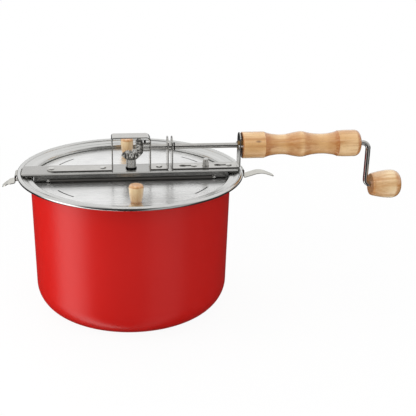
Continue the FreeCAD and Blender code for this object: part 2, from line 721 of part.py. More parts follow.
def keyhole_rivets():
    """Headed studs that the grip bracket's keyholes slide on; the outer one also holds the right clip."""
    inner = rivet(INNER_KEYHOLE_X, 0, STRAP_TOP_Z, STRAP + BAR_SHEET)
    outer = rivet(OUTER_KEYHOLE_X, 0, STRAP_TOP_Z, CLIP_GRIP)
    return [inner, outer]


def nut_stud():
    """Headed stud up through the crossbar and the grip bracket's foot."""
    seat = BAR_UNDER_Z - SEAT_GAP
    low = seat - STUD_HEAD_H
    top = STRAP_TOP_Z + STUD_PROUD
    outline = [(0, low), (STUD_HEAD_R, low), (STUD_HEAD_R, seat), (STUD_R, seat), (STUD_R, top), (0, top)]
    stud = turned(outline)
    stud.translate(V(NUT_X, 0, 0))
    return stud


def cap_nut():
    """Cap nut: round collar, six-sided body, domed top, blind bore."""
    seat = STRAP_TOP_Z + SEAT_GAP
    low = seat + NUT_COLLAR_H
    body_h = (NUT_H - NUT_COLLAR_H) / 2
    top = low + body_h
    high = seat + NUT_H
    dome_r = NUT_R * NUT_DOME_SHARE
    crown_r = dome_r / 2
    bevel = dome_r - crown_r
    collar = cylinder(NUT_R, NUT_COLLAR_H, V(0, 0, seat))
    corners = []
    for degrees in range(30, 450, 60):
        a = math.radians(degrees)
        corners.append(V(NUT_R * math.cos(a), NUT_R * math.sin(a), low))
    body = Part.Face(Part.makePolygon(corners)).extrude(V(0, 0, body_h))
    outline = [(0, top), (dome_r, top), (dome_r, high - bevel), (dome_r - bevel / 3, high - bevel / 3)]
    dome = turned(outline + [(crown_r, high), (0, high)])
    nut = collar.multiFuse([body, dome]).removeSplitter()
    nut = nut.cut(cylinder(STUD_R + SHAFT_FIT, STUD_PROUD + NUT_BORE_END, V(0, 0, seat)))
    nut.translate(V(NUT_X, 0, 0))
    return nut


# Spring clips


def tongue_plan(start_x, tip_x, half, nose):
    """Plan of a clip: straight sides, then a tongue that draws in to a rounded nose."""
    straight_x = tip_x - (tip_x - start_x) * TONGUE_ROUND_SHARE
    drawn_in = nose < tip_x - straight_x
    nose_x = tip_x - nose if drawn_in else straight_x
    nose_half = half * TONGUE_NOSE_SHARE if drawn_in else half
    edges = [Part.makeLine(V(0, -half, 0), V(0, half, 0))]
    for sy in (-1, 1):
        corner = V(straight_x, sy * half, 0)
        edges.append(Part.makeLine(V(0, sy * half, 0), corner))
        if drawn_in:
            middle = V((straight_x + nose_x) / 2, sy * half * TONGUE_SIDE_SHARE, 0)
            edges.append(Part.Arc(corner, middle, V(nose_x, sy * nose_half, 0)).toShape())
    tip = Part.Arc(V(nose_x, -nose_half, 0), V(tip_x, 0, 0), V(nose_x, nose_half, 0))
    edges.append(tip.toShape())
    return Part.Face(Part.Wire(Part.__sortEdges__(edges)))


def clip(rivet_x, tail, tongue, tongue_bend_r, width):
    """Spring clip: slotted flat, dip out through the hem, drop beside it, then the thumb tongue."""
    low_z = HEM_Z - tongue[0][1]
    points = [
        (rivet_x - tail, CLIP_FLAT_Z),
        (CLIP_DIP_X, CLIP_FLAT_Z),
        (CLIP_DIP_END_X, CLIP_EXIT_Z),
        (CLIP_DROP_X, CLIP_EXIT_Z),
        (CLIP_DROP_X, low_z),
    ]
    points += [(CLIP_DROP_X + out, HEM_Z - down) for out, down in tongue[1:]]
    bends = [CLIP_BEND_R, CLIP_BEND_R, CLIP_FOLD_R, CLIP_FOLD_R, tongue_bend_r]
    strip = bent_strip(points, bends, CLIP_SHEET, width)
    half = width / 2
    plan = tongue_plan(CLIP_DROP_X, points[-1][0] + CLIP_SHEET, half, half * TONGUE_NOSE_SHARE)
    plan.translate(V(0, 0, low_z - BAR_TOP_Z / 2))
    strip = strip.common(plan.extrude(V(0, 0, BAR_TOP_Z)))
    strip = strip.fuse(latch_tab()).removeSplitter()
    slot_l = CLIP_TRAVEL + CLIP_PLAY
    slot_base = V(rivet_x - slot_l, 0, CLIP_FLAT_Z - CLIP_SHEET / 2)
    return strip.cut(pill(slot_l, RIVET_R + CLIP_PLAY, CLIP_SHEET, slot_base))


def latch_tab():
    """Small tab lanced inward from the clip, its end beside the pot's rolled rim."""
    tab_z = POT_RIM_Z - POT_BEAD_R - CLIP_SHEET
    x_end = POT_BEAD_OUTER_R + 2 * BODY_GAP
    return box(x_end, CLIP_DROP_X, -LATCH_W / 2, LATCH_W / 2, tab_z, tab_z + CLIP_SHEET)


def right_clip():
    """Clip under the grip, its tongue a long arch."""
    tongue = [(0, ARCH_FOOT_DROP), (ARCH_TOP_OUT, ARCH_TOP_DROP), (ARCH_TIP_OUT, ARCH_FOOT_DROP)]
    return clip(OUTER_KEYHOLE_X, CLIP_TAIL, tongue, ARCH_TONGUE_R, RIGHT_CLIP_W)


def left_clip():
    """Clip on the far side, its tongue short and drooping."""
    tongue = [(0, DROOP_FOOT_DROP), (DROOP_BEND_OUT, DROOP_BEND_DROP), (DROOP_TIP_OUT, DROOP_TIP_DROP)]
    made = clip(-LEFT_CLIP_RIVET_X, CLIP_TAIL - CLIP_TRAVEL, tongue, DROOP_TONGUE_R, LEFT_CLIP_W)
    return made.mirror(V(0, 0, 0), X_AXIS)


# Bevel gears


def involute_point(base_r, t):
    return base_r * math.sqrt(1 + t * t), t - math.atan(t)


def bevel_tooth_ring():
    """Ring of teeth about Z with its cone's tip at the origin and the large end at z = -PITCH_R."""
    module = 2 * PITCH_R / TEETH
    cone = CONE_ANGLE
    back_r = PITCH_R / math.cos(cone)
    base_r = back_r * math.cos(math.radians(PRESSURE_ANGLE))
    tip_r = back_r + module
    root_r = back_r - TOOTH_DEPTH_BELOW * module
    t_pitch = math.tan(math.radians(PRESSURE_ANGLE))
    pitch_roll = t_pitch - math.atan(t_pitch)
    half_tooth = math.pi * module / 4 / back_r - BACKLASH / 2 / back_r

    def on_plane(radius, angle):
        """Carry a point of the flattened back cone through the tip onto the plane z = -PITCH_R."""
        height = (radius - back_r) * math.sin(cone)
        real_r = PITCH_R + (radius - back_r) * math.cos(cone)
        depth = PITCH_R - height
        real_angle = angle / math.cos(cone)
        scale = PITCH_R / depth
        return V(real_r * scale * math.cos(real_angle), real_r * scale * math.sin(real_angle), -PITCH_R)

    flank = []
    steps = 4
    t_tip = math.sqrt((tip_r / base_r) ** 2 - 1)
    t_low = 0.0 if root_r < base_r else math.sqrt((root_r / base_r) ** 2 - 1)
    for k in range(steps + 1):
        radius, roll = involute_point(base_r, t_low + (t_tip - t_low) * k / steps)
        flank.append((radius, half_tooth + pitch_roll - roll))
    if root_r < base_r:
        flank.insert(0, (root_r, flank[0][1]))
    turn = 2 * math.pi / TEETH * math.cos(cone)
    corners = []
    for tooth in range(TEETH):
        middle = tooth * turn
        corners += [on_plane(radius, middle - angle) for radius, angle in flank]
        corners += [on_plane(radius, middle + angle) for radius, angle in reversed(flank)]
    scale = 1 - FACE_WIDTH / back_r
    beyond = 1 + 3 * module / back_r
    closed = corners + [corners[0]]
    large = Part.makePolygon([p * beyond for p in closed])
    small = Part.makePolygon([p * (scale / beyond) for p in closed])
    cone_body = Part.makeLoft([large, small], True, True)
    return cone_body.common(gear_blank(module, scale))


def gear_blank(module, scale):
    """Turned blank that trims the teeth: back cone outside, front cone inside, both at 45 degrees."""
    rise = module * math.cos(CONE_ANGLE)
    below = 2 * TOOTH_DEPTH_BELOW * rise
    tip_r = PITCH_R + rise
    tip_z = -PITCH_R + rise
    root_r = PITCH_R - below
    root_z = -PITCH_R - below
    front_z = -PITCH_R * scale - module
    outline = [(0, root_z), (root_r, root_z), (tip_r, tip_z)]
    outline += [(tip_r * scale, tip_z * scale), (root_r * scale - module / 2, front_z), (0, front_z)]
    return turned(outline)


def bevel_gear(hub_r, hub_length):
    """Tooth ring with its hub, about Z, cone tip at the origin, hub pointing down."""
    ring = bevel_tooth_ring()
    hub_top = FACE_WIDTH / 4 - PITCH_R
    hub = cylinder(hub_r, hub_length + hub_top, V(0, 0, -hub_length))
    return ring.fuse(hub).removeSplitter()


def driven_gear():
    """Lower gear on the stirrer's shaft."""
    length = ROD_Z - SHAFT_BUSH_TOP_Z - BODY_GAP
    gear = bevel_gear(LOW_HUB_R, length)
    gear.translate(V(0, 0, ROD_Z))
    gear = gear.cut(cylinder(BORE_R, length, V(0, 0, ROD_Z - length)))
    return gear.cut(driven_pin(SHAFT_FIT))


def driven_pin(extra=0.0):
    """Flush cross pin through the lower gear's hub and the shaft."""
    length = 2 * (LOW_HUB_R - PIN_SUNK + extra)
    return cylinder(PIN_R + extra, length, V(-length / 2, 0, SHAFT_BUSH_TOP_Z + PIN_UP_HUB), X_AXIS)


def drive_pin(extra=0.0):
    """Cross pin of the upper gear, standing proud of the hub's top."""
    low = ROD_Z - SIDE_HUB_R + PIN_SUNK - extra
    top = ROD_Z + SIDE_HUB_R + PIN_PROUD + extra
    return cylinder(PIN_R + extra, top - low, V(GEAR_LEG_FACE_X - PIN_FROM_LEG, 0, low))


def drive_gear():
    """Upper gear on the crank rod, turned half a tooth to mesh."""
    length = GEAR_LEG_FACE_X - BODY_GAP
    gear = bevel_gear(SIDE_HUB_R, length)
    gear.rotate(V(0, 0, 0), Z_AXIS, 180 / TEETH)
    gear.rotate(V(0, 0, 0), Y_AXIS, -90)
    gear.translate(V(0, 0, ROD_Z))
    gear = gear.cut(cylinder(BORE_R, length, V(0, 0, ROD_Z), X_AXIS))
    return gear.cut(drive_pin(SHAFT_FIT))


# Crank


def crank_rod():
    """One bent rod: through the gear, bearings and grip, down the arm, out as the knob's spindle."""
    spindle_end = KNOB_X + KNOB_LENGTH - KNOB_RECESS_H + SPINDLE_PROUD
    start = PITCH_R * 0.5
    points = [(start, ROD_Z), (ARM_X, ROD_Z), (ARM_X, KNOB_Z), (spindle_end, KNOB_Z)]
    rod = round_wire(points, [ROD_BEND_R, ROD_BEND_R], ROD_R)
    return rod.cut(drive_pin(SHAFT_FIT))


def rod_collar():
    """Push-on collar on the rod between the two bearing plates."""
    length = SECOND_BEARING_GAP - 2 * ROD_COLLAR_GAP
    start = BEARING_X + STRAP / 2 + ROD_COLLAR_GAP
    return tube(BORE_R + ROD_COLLAR_WALL, BORE_R, length, V(start, 0, ROD_Z), X_AXIS)


def rod_clip():
    """Open retaining ring on the rod outside the second bearing plate."""
    start = SECOND_BEARING_X + STRAP / 2 + ROD_RING_GAP
    outer_r = BORE_R + ROD_RING_WALL
    ring = tube(outer_r, BORE_R, ROD_RING_THICK, V(start, 0, ROD_Z), X_AXIS)
    mouth = box(start, start + ROD_RING_THICK, -ROD_RING_MOUTH, ROD_RING_MOUTH, ROD_Z - outer_r, ROD_Z)
    return ring.cut(mouth)


def knob_spindle_nut():
    """Push-on nut that keeps the knob on its spindle, in the recess of the knob's end."""
    start = KNOB_X + KNOB_LENGTH - KNOB_RECESS_H + BODY_GAP
    return tube(BORE_R + SPINDLE_NUT_WALL, BORE_R, SPINDLE_NUT_H, V(start, 0, KNOB_Z), X_AXIS)


def crank_knob():
    """Barrel-shaped wooden knob that spins on the crank's spindle."""
    knob = turned_knob(KNOB_LENGTH, KNOB_FACE_R, KNOB_R, BORE_R + KNOB_PLAY, KNOB_LENGTH)
    knob = knob.cut(cylinder(KNOB_RECESS_R, KNOB_RECESS_H, V(0, 0, KNOB_LENGTH - KNOB_RECESS_H)))
    knob.rotate(V(0, 0, 0), Y_AXIS, 90)
    knob.translate(V(KNOB_X, 0, KNOB_Z))
    return knob


# Grip


def grip_bush():
    """Flanged bush in the end plate; its outer shoulder spaces the grip off the plate."""
    plate = -STRAP - GRIP_START_GAP
    outline = [(BORE_R, 0), (GRIP_BUSH_FLANGE_R, 0), (GRIP_BUSH_FLANGE_R, -GRIP_START_GAP)]
    outline += [(GRIP_BUSH_R, -GRIP_START_GAP), (GRIP_BUSH_R, plate), (GRIP_BUSH_FLANGE_R, plate)]
    outline += [(GRIP_BUSH_FLANGE_R, plate - GRIP_BUSH_FLANGE_H), (BORE_R, plate - GRIP_BUSH_FLANGE_H)]
    bush = turned(outline)
    bush.rotate(V(0, 0, 0), Y_AXIS, 90)
    bush.translate(V(GRIP_X, 0, ROD_Z))
    return bush


def grip():
    """Turned wooden grip: plain cylinder, two waists with a swelling between, rounded end."""
    step = GRIP_LENGTH * GRIP_STEP_SHARE
    last = GRIP_LENGTH * GRIP_LAST_SHARE
    lip = last + GRIP_LIP
    end_r = GRIP_R - GRIP_BEVEL / 4
    nose_r = end_r - GRIP_END_ROUND
    corner = GRIP_END_ROUND * (1 - math.cos(CONE_ANGLE))
    turns = [(0, GRIP_R - GRIP_SHOULDER), (GRIP_WAIST_SHARE, GRIP_WAIST_R)]
    turns += [(GRIP_SWELL_SHARE, GRIP_R - GRIP_SWELL), (GRIP_FAR_WAIST_SHARE, GRIP_FAR_WAIST_R)]
    turns += [(1, GRIP_R - GRIP_FAR_SHOULDER)]
    through = [turns[0]]
    for (share, radius), (next_share, next_radius) in zip(turns, turns[1:]):
        through.append(((share + next_share) / 2, (radius + next_radius) / 2))
        through.append((next_share, next_radius))
    waists = Part.BSplineCurve()
    waists.interpolate([V(radius, 0, step + (last - step) * share) for share, radius in through])
    front = [(turns[0][1], step), (GRIP_R, step), (GRIP_R, GRIP_BEVEL), (GRIP_R - GRIP_BEVEL, 0), (0, 0)]
    back = [(0, GRIP_LENGTH), (nose_r, GRIP_LENGTH)]
    nose = Part.Arc(V(nose_r, 0, GRIP_LENGTH), V(end_r - corner, 0, GRIP_LENGTH - corner),
                    V(end_r, 0, GRIP_LENGTH - GRIP_END_ROUND))
    tail = [(end_r, GRIP_LENGTH - GRIP_END_ROUND), (end_r, lip), (turns[-1][1], last)]
    edges = [waists.toShape(), nose.toShape()]
    for run in (front + back, tail):
        corners = [V(radius, 0, z) for radius, z in run]
        edges += [Part.makeLine(a, b) for a, b in zip(corners, corners[1:])]
    wood = Part.Face(Part.Wire(Part.__sortEdges__(edges))).revolve(V(0, 0, 0), Z_AXIS, 360)
    wood = wood.cut(cylinder(ROD_R + GRIP_BORE_CLEAR, GRIP_LENGTH, V(0, 0, 0)))
    wood.rotate(V(0, 0, 0), Y_AXIS, 90)
    wood.translate(V(GRIP_X, 0, ROD_Z))
    for y in (-GRIP_SCREW_Y, GRIP_SCREW_Y):
        wood = wood.cut(cylinder(GRIP_SCREW_R + SEAT_GAP, GRIP_SCREW_L, V(GRIP_X, y, ROD_Z), X_AXIS))
    return wood


def grip_screws():
    """Two round-head screws through the end plate into the grip."""
    seat = GRIP_PLATE_X - STRAP / 2 - SEAT_GAP
    screws = []
    for y in (-GRIP_SCREW_Y, GRIP_SCREW_Y):
        head = cylinder(GRIP_SCREW_HEAD_R, GRIP_SCREW_HEAD_H, V(seat - GRIP_SCREW_HEAD_H, y, ROD_Z), X_AXIS)
        shank = cylinder(GRIP_SCREW_R, GRIP_SCREW_L, V(seat, y, ROD_Z), X_AXIS)
        screws.append(head.fuse(shank).removeSplitter())
    return screws


# Stirrer


def shaft_bush():
    """Flanged bush that carries the stirrer's shaft in the crossbar."""
    flange_r = SHAFT_BUSH_R + SHAFT_BUSH_LIP
    outline = [(BORE_R, SHAFT_BUSH_LOW_Z), (SHAFT_BUSH_R, SHAFT_BUSH_LOW_Z), (SHAFT_BUSH_R, BAR_TOP_Z)]
    outline += [(flange_r, BAR_TOP_Z), (flange_r, SHAFT_BUSH_TOP_Z), (BORE_R, SHAFT_BUSH_TOP_Z)]
    return turned(outline)


def stirrer_shaft():
    """Upright shaft from the lower gear down to just above the pot's floor."""
    low = POT_WALL + SHAFT_FOOT_GAP
    top = ROD_Z - PITCH_R * 0.75
    shaft = cylinder(ROD_R, top - low, V(0, 0, low))
    shaft = shaft.cut(driven_pin(SHAFT_FIT))
    hole = cylinder(STIR_WIRE_R + SHAFT_FIT, 2 * ROD_R, V(-ROD_R, 0, STIR_WIRE_Z), X_AXIS)
    return shaft.cut(hole)


def shaft_collar():
    """Collar under the crossbar's bush that keeps the shaft from lifting."""
    low = SHAFT_BUSH_LOW_Z - BODY_GAP - COLLAR_H
    return tube(BORE_R + COLLAR_WALL, BORE_R, COLLAR_H, V(0, 0, low))


def stirrer_wire():
    """Wire through the shaft's foot: two arms along the floor that rise with the pot's corner."""
    points = [
        (-STIR_REACH, STIR_TIP_Z),
        (-STIR_REACH, STIR_WIRE_Z),
        (STIR_REACH, STIR_WIRE_Z),
        (STIR_REACH, STIR_TIP_Z),
    ]
    return round_wire(points, [STIR_BEND_R, STIR_BEND_R], STIR_WIRE_R)


def build():
    front = {
        "flap": flap(),
        "hinge_wire": hinge_wire(),
        "flap_knob": flap_knob(),
        "knob_screw": flap_knob_screw(),
    }
    nodes = {
        "pot": pot(),
        "lid_ring": lid_ring(),
        "ring_rivets": ring_rivets(),
        "crossbar": crossbar(),
        "gear_bracket": gear_bracket(),
        "grip_bracket": grip_bracket(),
        "strap_rivets": strap_rivets(),
        "left_clip_rivet": left_clip_rivet(),
        "keyhole_rivets": keyhole_rivets(),
        "nut_stud": nut_stud(),
        "cap_nut": cap_nut(),
        "left_clip": left_clip(),
        "right_clip": right_clip(),
        "shaft_bush": shaft_bush(),
        "stirrer_shaft": stirrer_shaft(),
        "shaft_collar": shaft_collar(),
        "stirrer_wire": stirrer_wire(),
        "driven_gear": driven_gear(),
        "driven_gear_pin": driven_pin(),
        "drive_gear": drive_gear(),
        "drive_gear_pin": drive_pin(),
        "crank_rod": crank_rod(),
        "rod_collar": rod_collar(),
        "rod_retaining_ring": rod_clip(),
        "grip_bush": grip_bush(),
        "grip": grip(),
        "grip_screws": grip_screws(),
        "crank_knob": crank_knob(),
        "knob_spindle_nut": knob_spindle_nut(),
    }
    for name, shape in front.items():
        nodes["front_" + name] = shape
        nodes["back_" + name] = mirrored_y(shape)
    return nodes


def write_nodes(nodes):
    os.makedirs("parts", exist_ok=True)
    for name, made in nodes.items():
        solids = made if isinstance(made, list) else made.Solids
        shape = solids[0] if len(solids) == 1 else Part.makeCompound(solids)
        shape.exportStep("parts/" + name + ".step")
        volume = sum(s.Volume for s in solids)
        state = "valid" if shape.isValid() else "INVALID"
        print(name, len(solids), "solids", round(volume), "mm3", state)


write_nodes(build())
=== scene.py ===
"""Looks of a stovetop popcorn popper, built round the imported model.

All sizes are in metres, in the model's own frame: Z up, X from the pot's axis to the crank handle,
the origin at the centre of the pot's base.
"""

import logging
import math
from dataclasses import dataclass, field
from enum import Enum
from typing import Callable, Optional, Sequence

import bpy
from mathutils import Matrix, Vector


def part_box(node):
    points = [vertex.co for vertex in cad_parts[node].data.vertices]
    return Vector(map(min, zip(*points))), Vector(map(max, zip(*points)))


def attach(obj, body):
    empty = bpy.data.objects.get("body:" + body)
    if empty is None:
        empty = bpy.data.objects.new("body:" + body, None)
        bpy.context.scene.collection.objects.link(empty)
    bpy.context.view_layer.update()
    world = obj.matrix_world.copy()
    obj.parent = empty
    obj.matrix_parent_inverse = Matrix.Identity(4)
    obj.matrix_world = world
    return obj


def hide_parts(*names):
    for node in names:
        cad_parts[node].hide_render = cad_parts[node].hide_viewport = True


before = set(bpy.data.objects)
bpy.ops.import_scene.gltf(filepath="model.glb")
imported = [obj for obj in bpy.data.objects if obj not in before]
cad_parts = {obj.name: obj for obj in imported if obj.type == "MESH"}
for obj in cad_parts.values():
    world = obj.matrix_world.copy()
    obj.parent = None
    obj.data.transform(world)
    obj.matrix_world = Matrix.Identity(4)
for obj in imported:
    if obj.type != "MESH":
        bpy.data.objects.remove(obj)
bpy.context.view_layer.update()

LOG = logging.getLogger("popper")
MM = 0.001
Point = tuple[float, float]
Span = tuple[float, float]
Place = tuple[float, float, float]
Colour = tuple[float, float, float]


class Body(str, Enum):
    """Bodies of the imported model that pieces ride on."""

    POT = "pot_body"
    LID = "lid_body"
    FRONT_FLAP = "front_flap_body"
    BACK_FLAP = "back_flap_body"
    CRANK = "crank_body"
    KNOB = "crank_knob_body"
    STIRRER = "stirrer_body"
    LEFT_CLIP = "left_clip_body"
    RIGHT_CLIP = "right_clip_body"


# Modelling moves

# Turns between faces in degrees: shaded smooth up to the first, rounded past the second, merged below
# the third, and shaded smooth up to the fourth on turned pieces.
SMOOTH_TURN = 32.0
SHARP_TURN = 34.0
FLAT_TURN = 0.6
TURNED_TURN = 40.0
EDGE_FACES = 2
WELD = 0.004 * MM
FINE_WELD = 0.002 * MM


def clear_selection() -> None:
    """Leave edit mode and deselect everything, so that an operator acts only on what is picked next."""
    if bpy.context.object and bpy.context.object.mode != "OBJECT":
        bpy.ops.object.mode_set(mode="OBJECT")
    bpy.ops.object.select_all(action="DESELECT")


def pick(piece: bpy.types.Object) -> None:
    """Make one object the only selected one and the active one.

    Args:
        piece: the object.
    """
    clear_selection()
    piece.select_set(True)
    bpy.context.view_layer.objects.active = piece


def named(name: str) -> bpy.types.Object:
    """Name the primitive that was just added.

    Args:
        name: the piece's name.

    Returns:
        The new object.
    """
    piece = bpy.context.object
    piece.name = name
    piece.data.name = name
    return piece


def settle(piece: bpy.types.Object) -> None:
    """Put an object's place into its mesh, so that the object sits at the origin, unturned.

    Args:
        piece: the object.
    """
    pick(piece)
    bpy.ops.object.transform_apply(location=True, rotation=True, scale=True)


def smooth(piece: bpy.types.Object, angle: float = SMOOTH_TURN) -> None:
    """Shade smooth except across sharp edges.

    Args:
        piece: the object.
        angle: the sharpest turn that is shaded smooth, in degrees.
    """
    pick(piece)
    bpy.ops.object.shade_smooth_by_angle(angle=math.radians(angle))
    flat = piece.modifiers.new("flat faces stay flat", "WEIGHTED_NORMAL")
    flat.keep_sharp = True
    flat.weight = 100
    bpy.ops.object.modifier_apply(modifier=flat.name)


def soften(piece: bpy.types.Object, width: float, angle: float = SHARP_TURN) -> None:
    """Round every sharp edge a little, as tumbling or sanding does.

    Args:
        piece: the object.
        width: the rounding's width.
        angle: edges that turn more than this are rounded, in degrees.
    """
    pick(piece)
    bevel = piece.modifiers.new("softened edges", "BEVEL")
    bevel.width = width
    bevel.segments = EDGE_FACES
    bevel.limit_method = "ANGLE"
    bevel.angle_limit = math.radians(angle)
    bevel.use_clamp_overlap = True
    bpy.ops.object.modifier_apply(modifier=bevel.name)


def cut_with(piece: bpy.types.Object, cutters: Sequence[bpy.types.Object]) -> None:
    """Cut shapes out of a piece and remove the cutters.

    Args:
        piece: the piece.
        cutters: closed meshes, which are used up.
    """
    for cutter in cutters:
        pick(piece)
        cut = piece.modifiers.new("cut", "BOOLEAN")
        cut.operation = "DIFFERENCE"
        cut.solver = "EXACT"
        cut.object = cutter
        bpy.ops.object.modifier_apply(modifier=cut.name)
        bpy.data.objects.remove(cutter)


def block(name: str, low: Sequence[float], high: Sequence[float]) -> bpy.types.Object:
    """Add a box between two corners.

    Args:
        name: the object's name.
        low: lowest corner.
        high: highest corner.

    Returns:
        The box, with its size applied.
    """
    clear_selection()
    middle = [(a + b) / 2 for a, b in zip(low, high)]
    bpy.ops.mesh.primitive_cube_add(size=1.0, location=middle)
    piece = named(name)
    piece.scale = [b - a for a, b in zip(low, high)]
    settle(piece)
    return piece


def lathe(name: str, outline: Sequence[Point], steps: int) -> bpy.types.Object:
    """Turn a piece about Z: draw half of its outline by extruding a point, then spin it.

    Args:
        name: the piece's name.
        outline: closed outline as (radius, height) points.
        steps: faces round the piece.

    Returns:
        The turned piece, closed, its faces outwards.
    """
    clear_selection()
    first = Vector((outline[0][0], 0.0, outline[0][1]))
    bpy.ops.mesh.primitive_plane_add(size=MM, location=first)
    piece = named(name)
    settle(piece)
    bpy.ops.object.mode_set(mode="EDIT")
    bpy.ops.mesh.select_all(action="SELECT")
    bpy.ops.mesh.merge(type="CENTER")
    at = first
    for radius, height in list(outline[1:]) + [outline[0]]:
        target = Vector((radius, 0.0, height))
        bpy.ops.mesh.extrude_vertices_move(TRANSFORM_OT_translate={"value": target - at})
        at = target
    bpy.ops.mesh.select_all(action="SELECT")
    bpy.ops.mesh.spin(steps=steps, angle=math.tau, center=(0, 0, 0), axis=(0, 0, 1), use_auto_merge=True)
    bpy.ops.mesh.select_all(action="SELECT")
    bpy.ops.mesh.remove_doubles(threshold=WELD)
    bpy.ops.mesh.dissolve_degenerate(threshold=FINE_WELD)
    bpy.ops.mesh.select_all(action="SELECT")
    bpy.ops.mesh.normals_make_consistent(inside=False)
    bpy.ops.object.mode_set(mode="OBJECT")
    return piece


def lay_along_x(piece: bpy.types.Object, start: Sequence[float]) -> None:
    """Tip a piece turned about Z so that it runs along +X from a point.

    Args:
        piece: the piece.
        start: where its foot goes.
    """
    piece.matrix_world = Matrix.Translation(Vector(start)) @ Matrix.Rotation(math.pi / 2, 4, "Y")
    settle(piece)


def lift_to(piece: bpy.types.Object, place: Sequence[float]) -> None:
    """Move a piece and put its place in its mesh.

    Args:
        piece: the piece.
        place: how far it moves.
    """
    piece.location = Vector(place)
    settle(piece)


def arc(centre: Point, radius: float, start: float, end: float, steps: int) -> list[Point]:
    """Points along an arc of an outline.

    Args:
        centre: the arc's centre as (radius, height).
        radius: the arc's own radius.
        start: first angle in degrees, 0 pointing outward and 90 up.
        end: last angle in degrees.
        steps: how many stretches.

    Returns:
        The points, both ends included.
    """
    points = []
    for k in range(steps + 1):
        angle = math.radians(start + (end - start) * k / steps)
        points.append((centre[0] + radius * math.cos(angle), centre[1] + radius * math.sin(angle)))
    return points


def flowing(stations: Sequence[Point], steps: int) -> list[Point]:
    """Smooth side of a turned piece through the places where its radius is known.

    Args:
        stations: (height, radius) along the side.
        steps: stretches between two stations.

    Returns:
        (radius, height) points.
    """
    points = []
    end = len(stations) - 1
    for k in range(end):
        before, here, after, last = (Vector(stations[min(max(m, 0), end)]) for m in range(k - 1, k + 3))
        for step in range(steps):
            share = step / steps
            square = (2 * before - 5 * here + 4 * after - last) * share**2
            cube = (3 * here - 3 * after + last - before) * share**3
            spot = here + ((after - before) * share + (square + cube)) / 2
            points.append((spot.y, spot.x))
    points.append((stations[-1][1], stations[-1][0]))
    return points


def rounded_path(corners: Sequence[Point], radii: Sequence[float], steps: int) -> list[Point]:
    """Open path with its inner corners rounded.

    Args:
        corners: the path's corners.
        radii: one rounding radius for each inner corner.
        steps: stretches in each rounding.

    Returns:
        The path's points.
    """
    points = [corners[0]]
    for before, here, after, radius in zip(corners, corners[1:], corners[2:], radii):
        corner = Vector(here)
        into, out = (corner - Vector(before)).normalized(), (Vector(after) - corner).normalized()
        reach = radius * math.tan(into.angle(out) / 2)
        start, end = corner - into * reach, corner + out * reach
        for k in range(steps + 1):
            share = k / steps
            spot = start * (1 - share) ** 2 + corner * 2 * share * (1 - share) + end * share**2
            points.append((spot.x, spot.y))
    points.append(corners[-1])
    return points


def beside(path: Sequence[Point], distance: float) -> list[Point]:
    """The path moved sideways, to its left when the distance is positive.

    Args:
        path: the path's points.
        distance: how far.

    Returns:
        The moved points.
    """
    moved = []
    for k, here in enumerate(path):
        before = Vector(path[max(k - 1, 0)])
        after = Vector(path[min(k + 1, len(path) - 1)])
        way = (after - before).normalized()
        moved.append((here[0] - way.y * distance, here[1] + way.x * distance))
    return moved


def softened_copy(node: str, name: str, width: float, angle: float = SHARP_TURN) -> bpy.types.Object:
    """Copy a modelled node as a piece of its own, merge its triangles and round its sharp edges.

    Args:
        node: the node to copy.
        name: the piece's name.
        width: width of the rounding.
        angle: edges that turn more than this are rounded, in degrees.

    Returns:
        The piece.
    """
    clear_selection()
    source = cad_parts[node]
    piece = source.copy()
    piece.data = source.data.copy()
    piece.parent = None
    piece.matrix_world = Matrix.Identity(4)
    for key in [key for key in piece.keys() if key.startswith("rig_")]:
        del piece[key]
    bpy.context.scene.collection.objects.link(piece)
    pick(piece)
    named(name)
    bpy.ops.object.mode_set(mode="EDIT")
    bpy.ops.mesh.select_all(action="SELECT")
    bpy.ops.mesh.customdata_custom_splitnormals_clear()
    bpy.ops.mesh.remove_doubles(threshold=FINE_WELD)
    bpy.ops.mesh.dissolve_limited(angle_limit=math.radians(FLAT_TURN))
    bpy.ops.object.mode_set(mode="OBJECT")
    soften(piece, width, angle)
    smooth(piece)
    return piece


# Finishes


def srgb(red: float, green: float, blue: float) -> Colour:
    """Turn a colour as seen on a screen into the linear values that a shader takes.

    Args:
        red: 0 to 255.
        green: 0 to 255.
        blue: 0 to 255.

    Returns:
        The linear colour, each part 0 to 1.
    """
    shares = [value / 255 for value in (red, green, blue)]
    return tuple(((v + 0.055) / 1.055) ** 2.4 if v > 0.04 else v / 12.92 for v in shares)


def faded(colour: Colour, amount: float) -> Colour:
    """Scale a colour's brightness by an amount."""
    return tuple(min(1.0, value * amount) for value in colour)


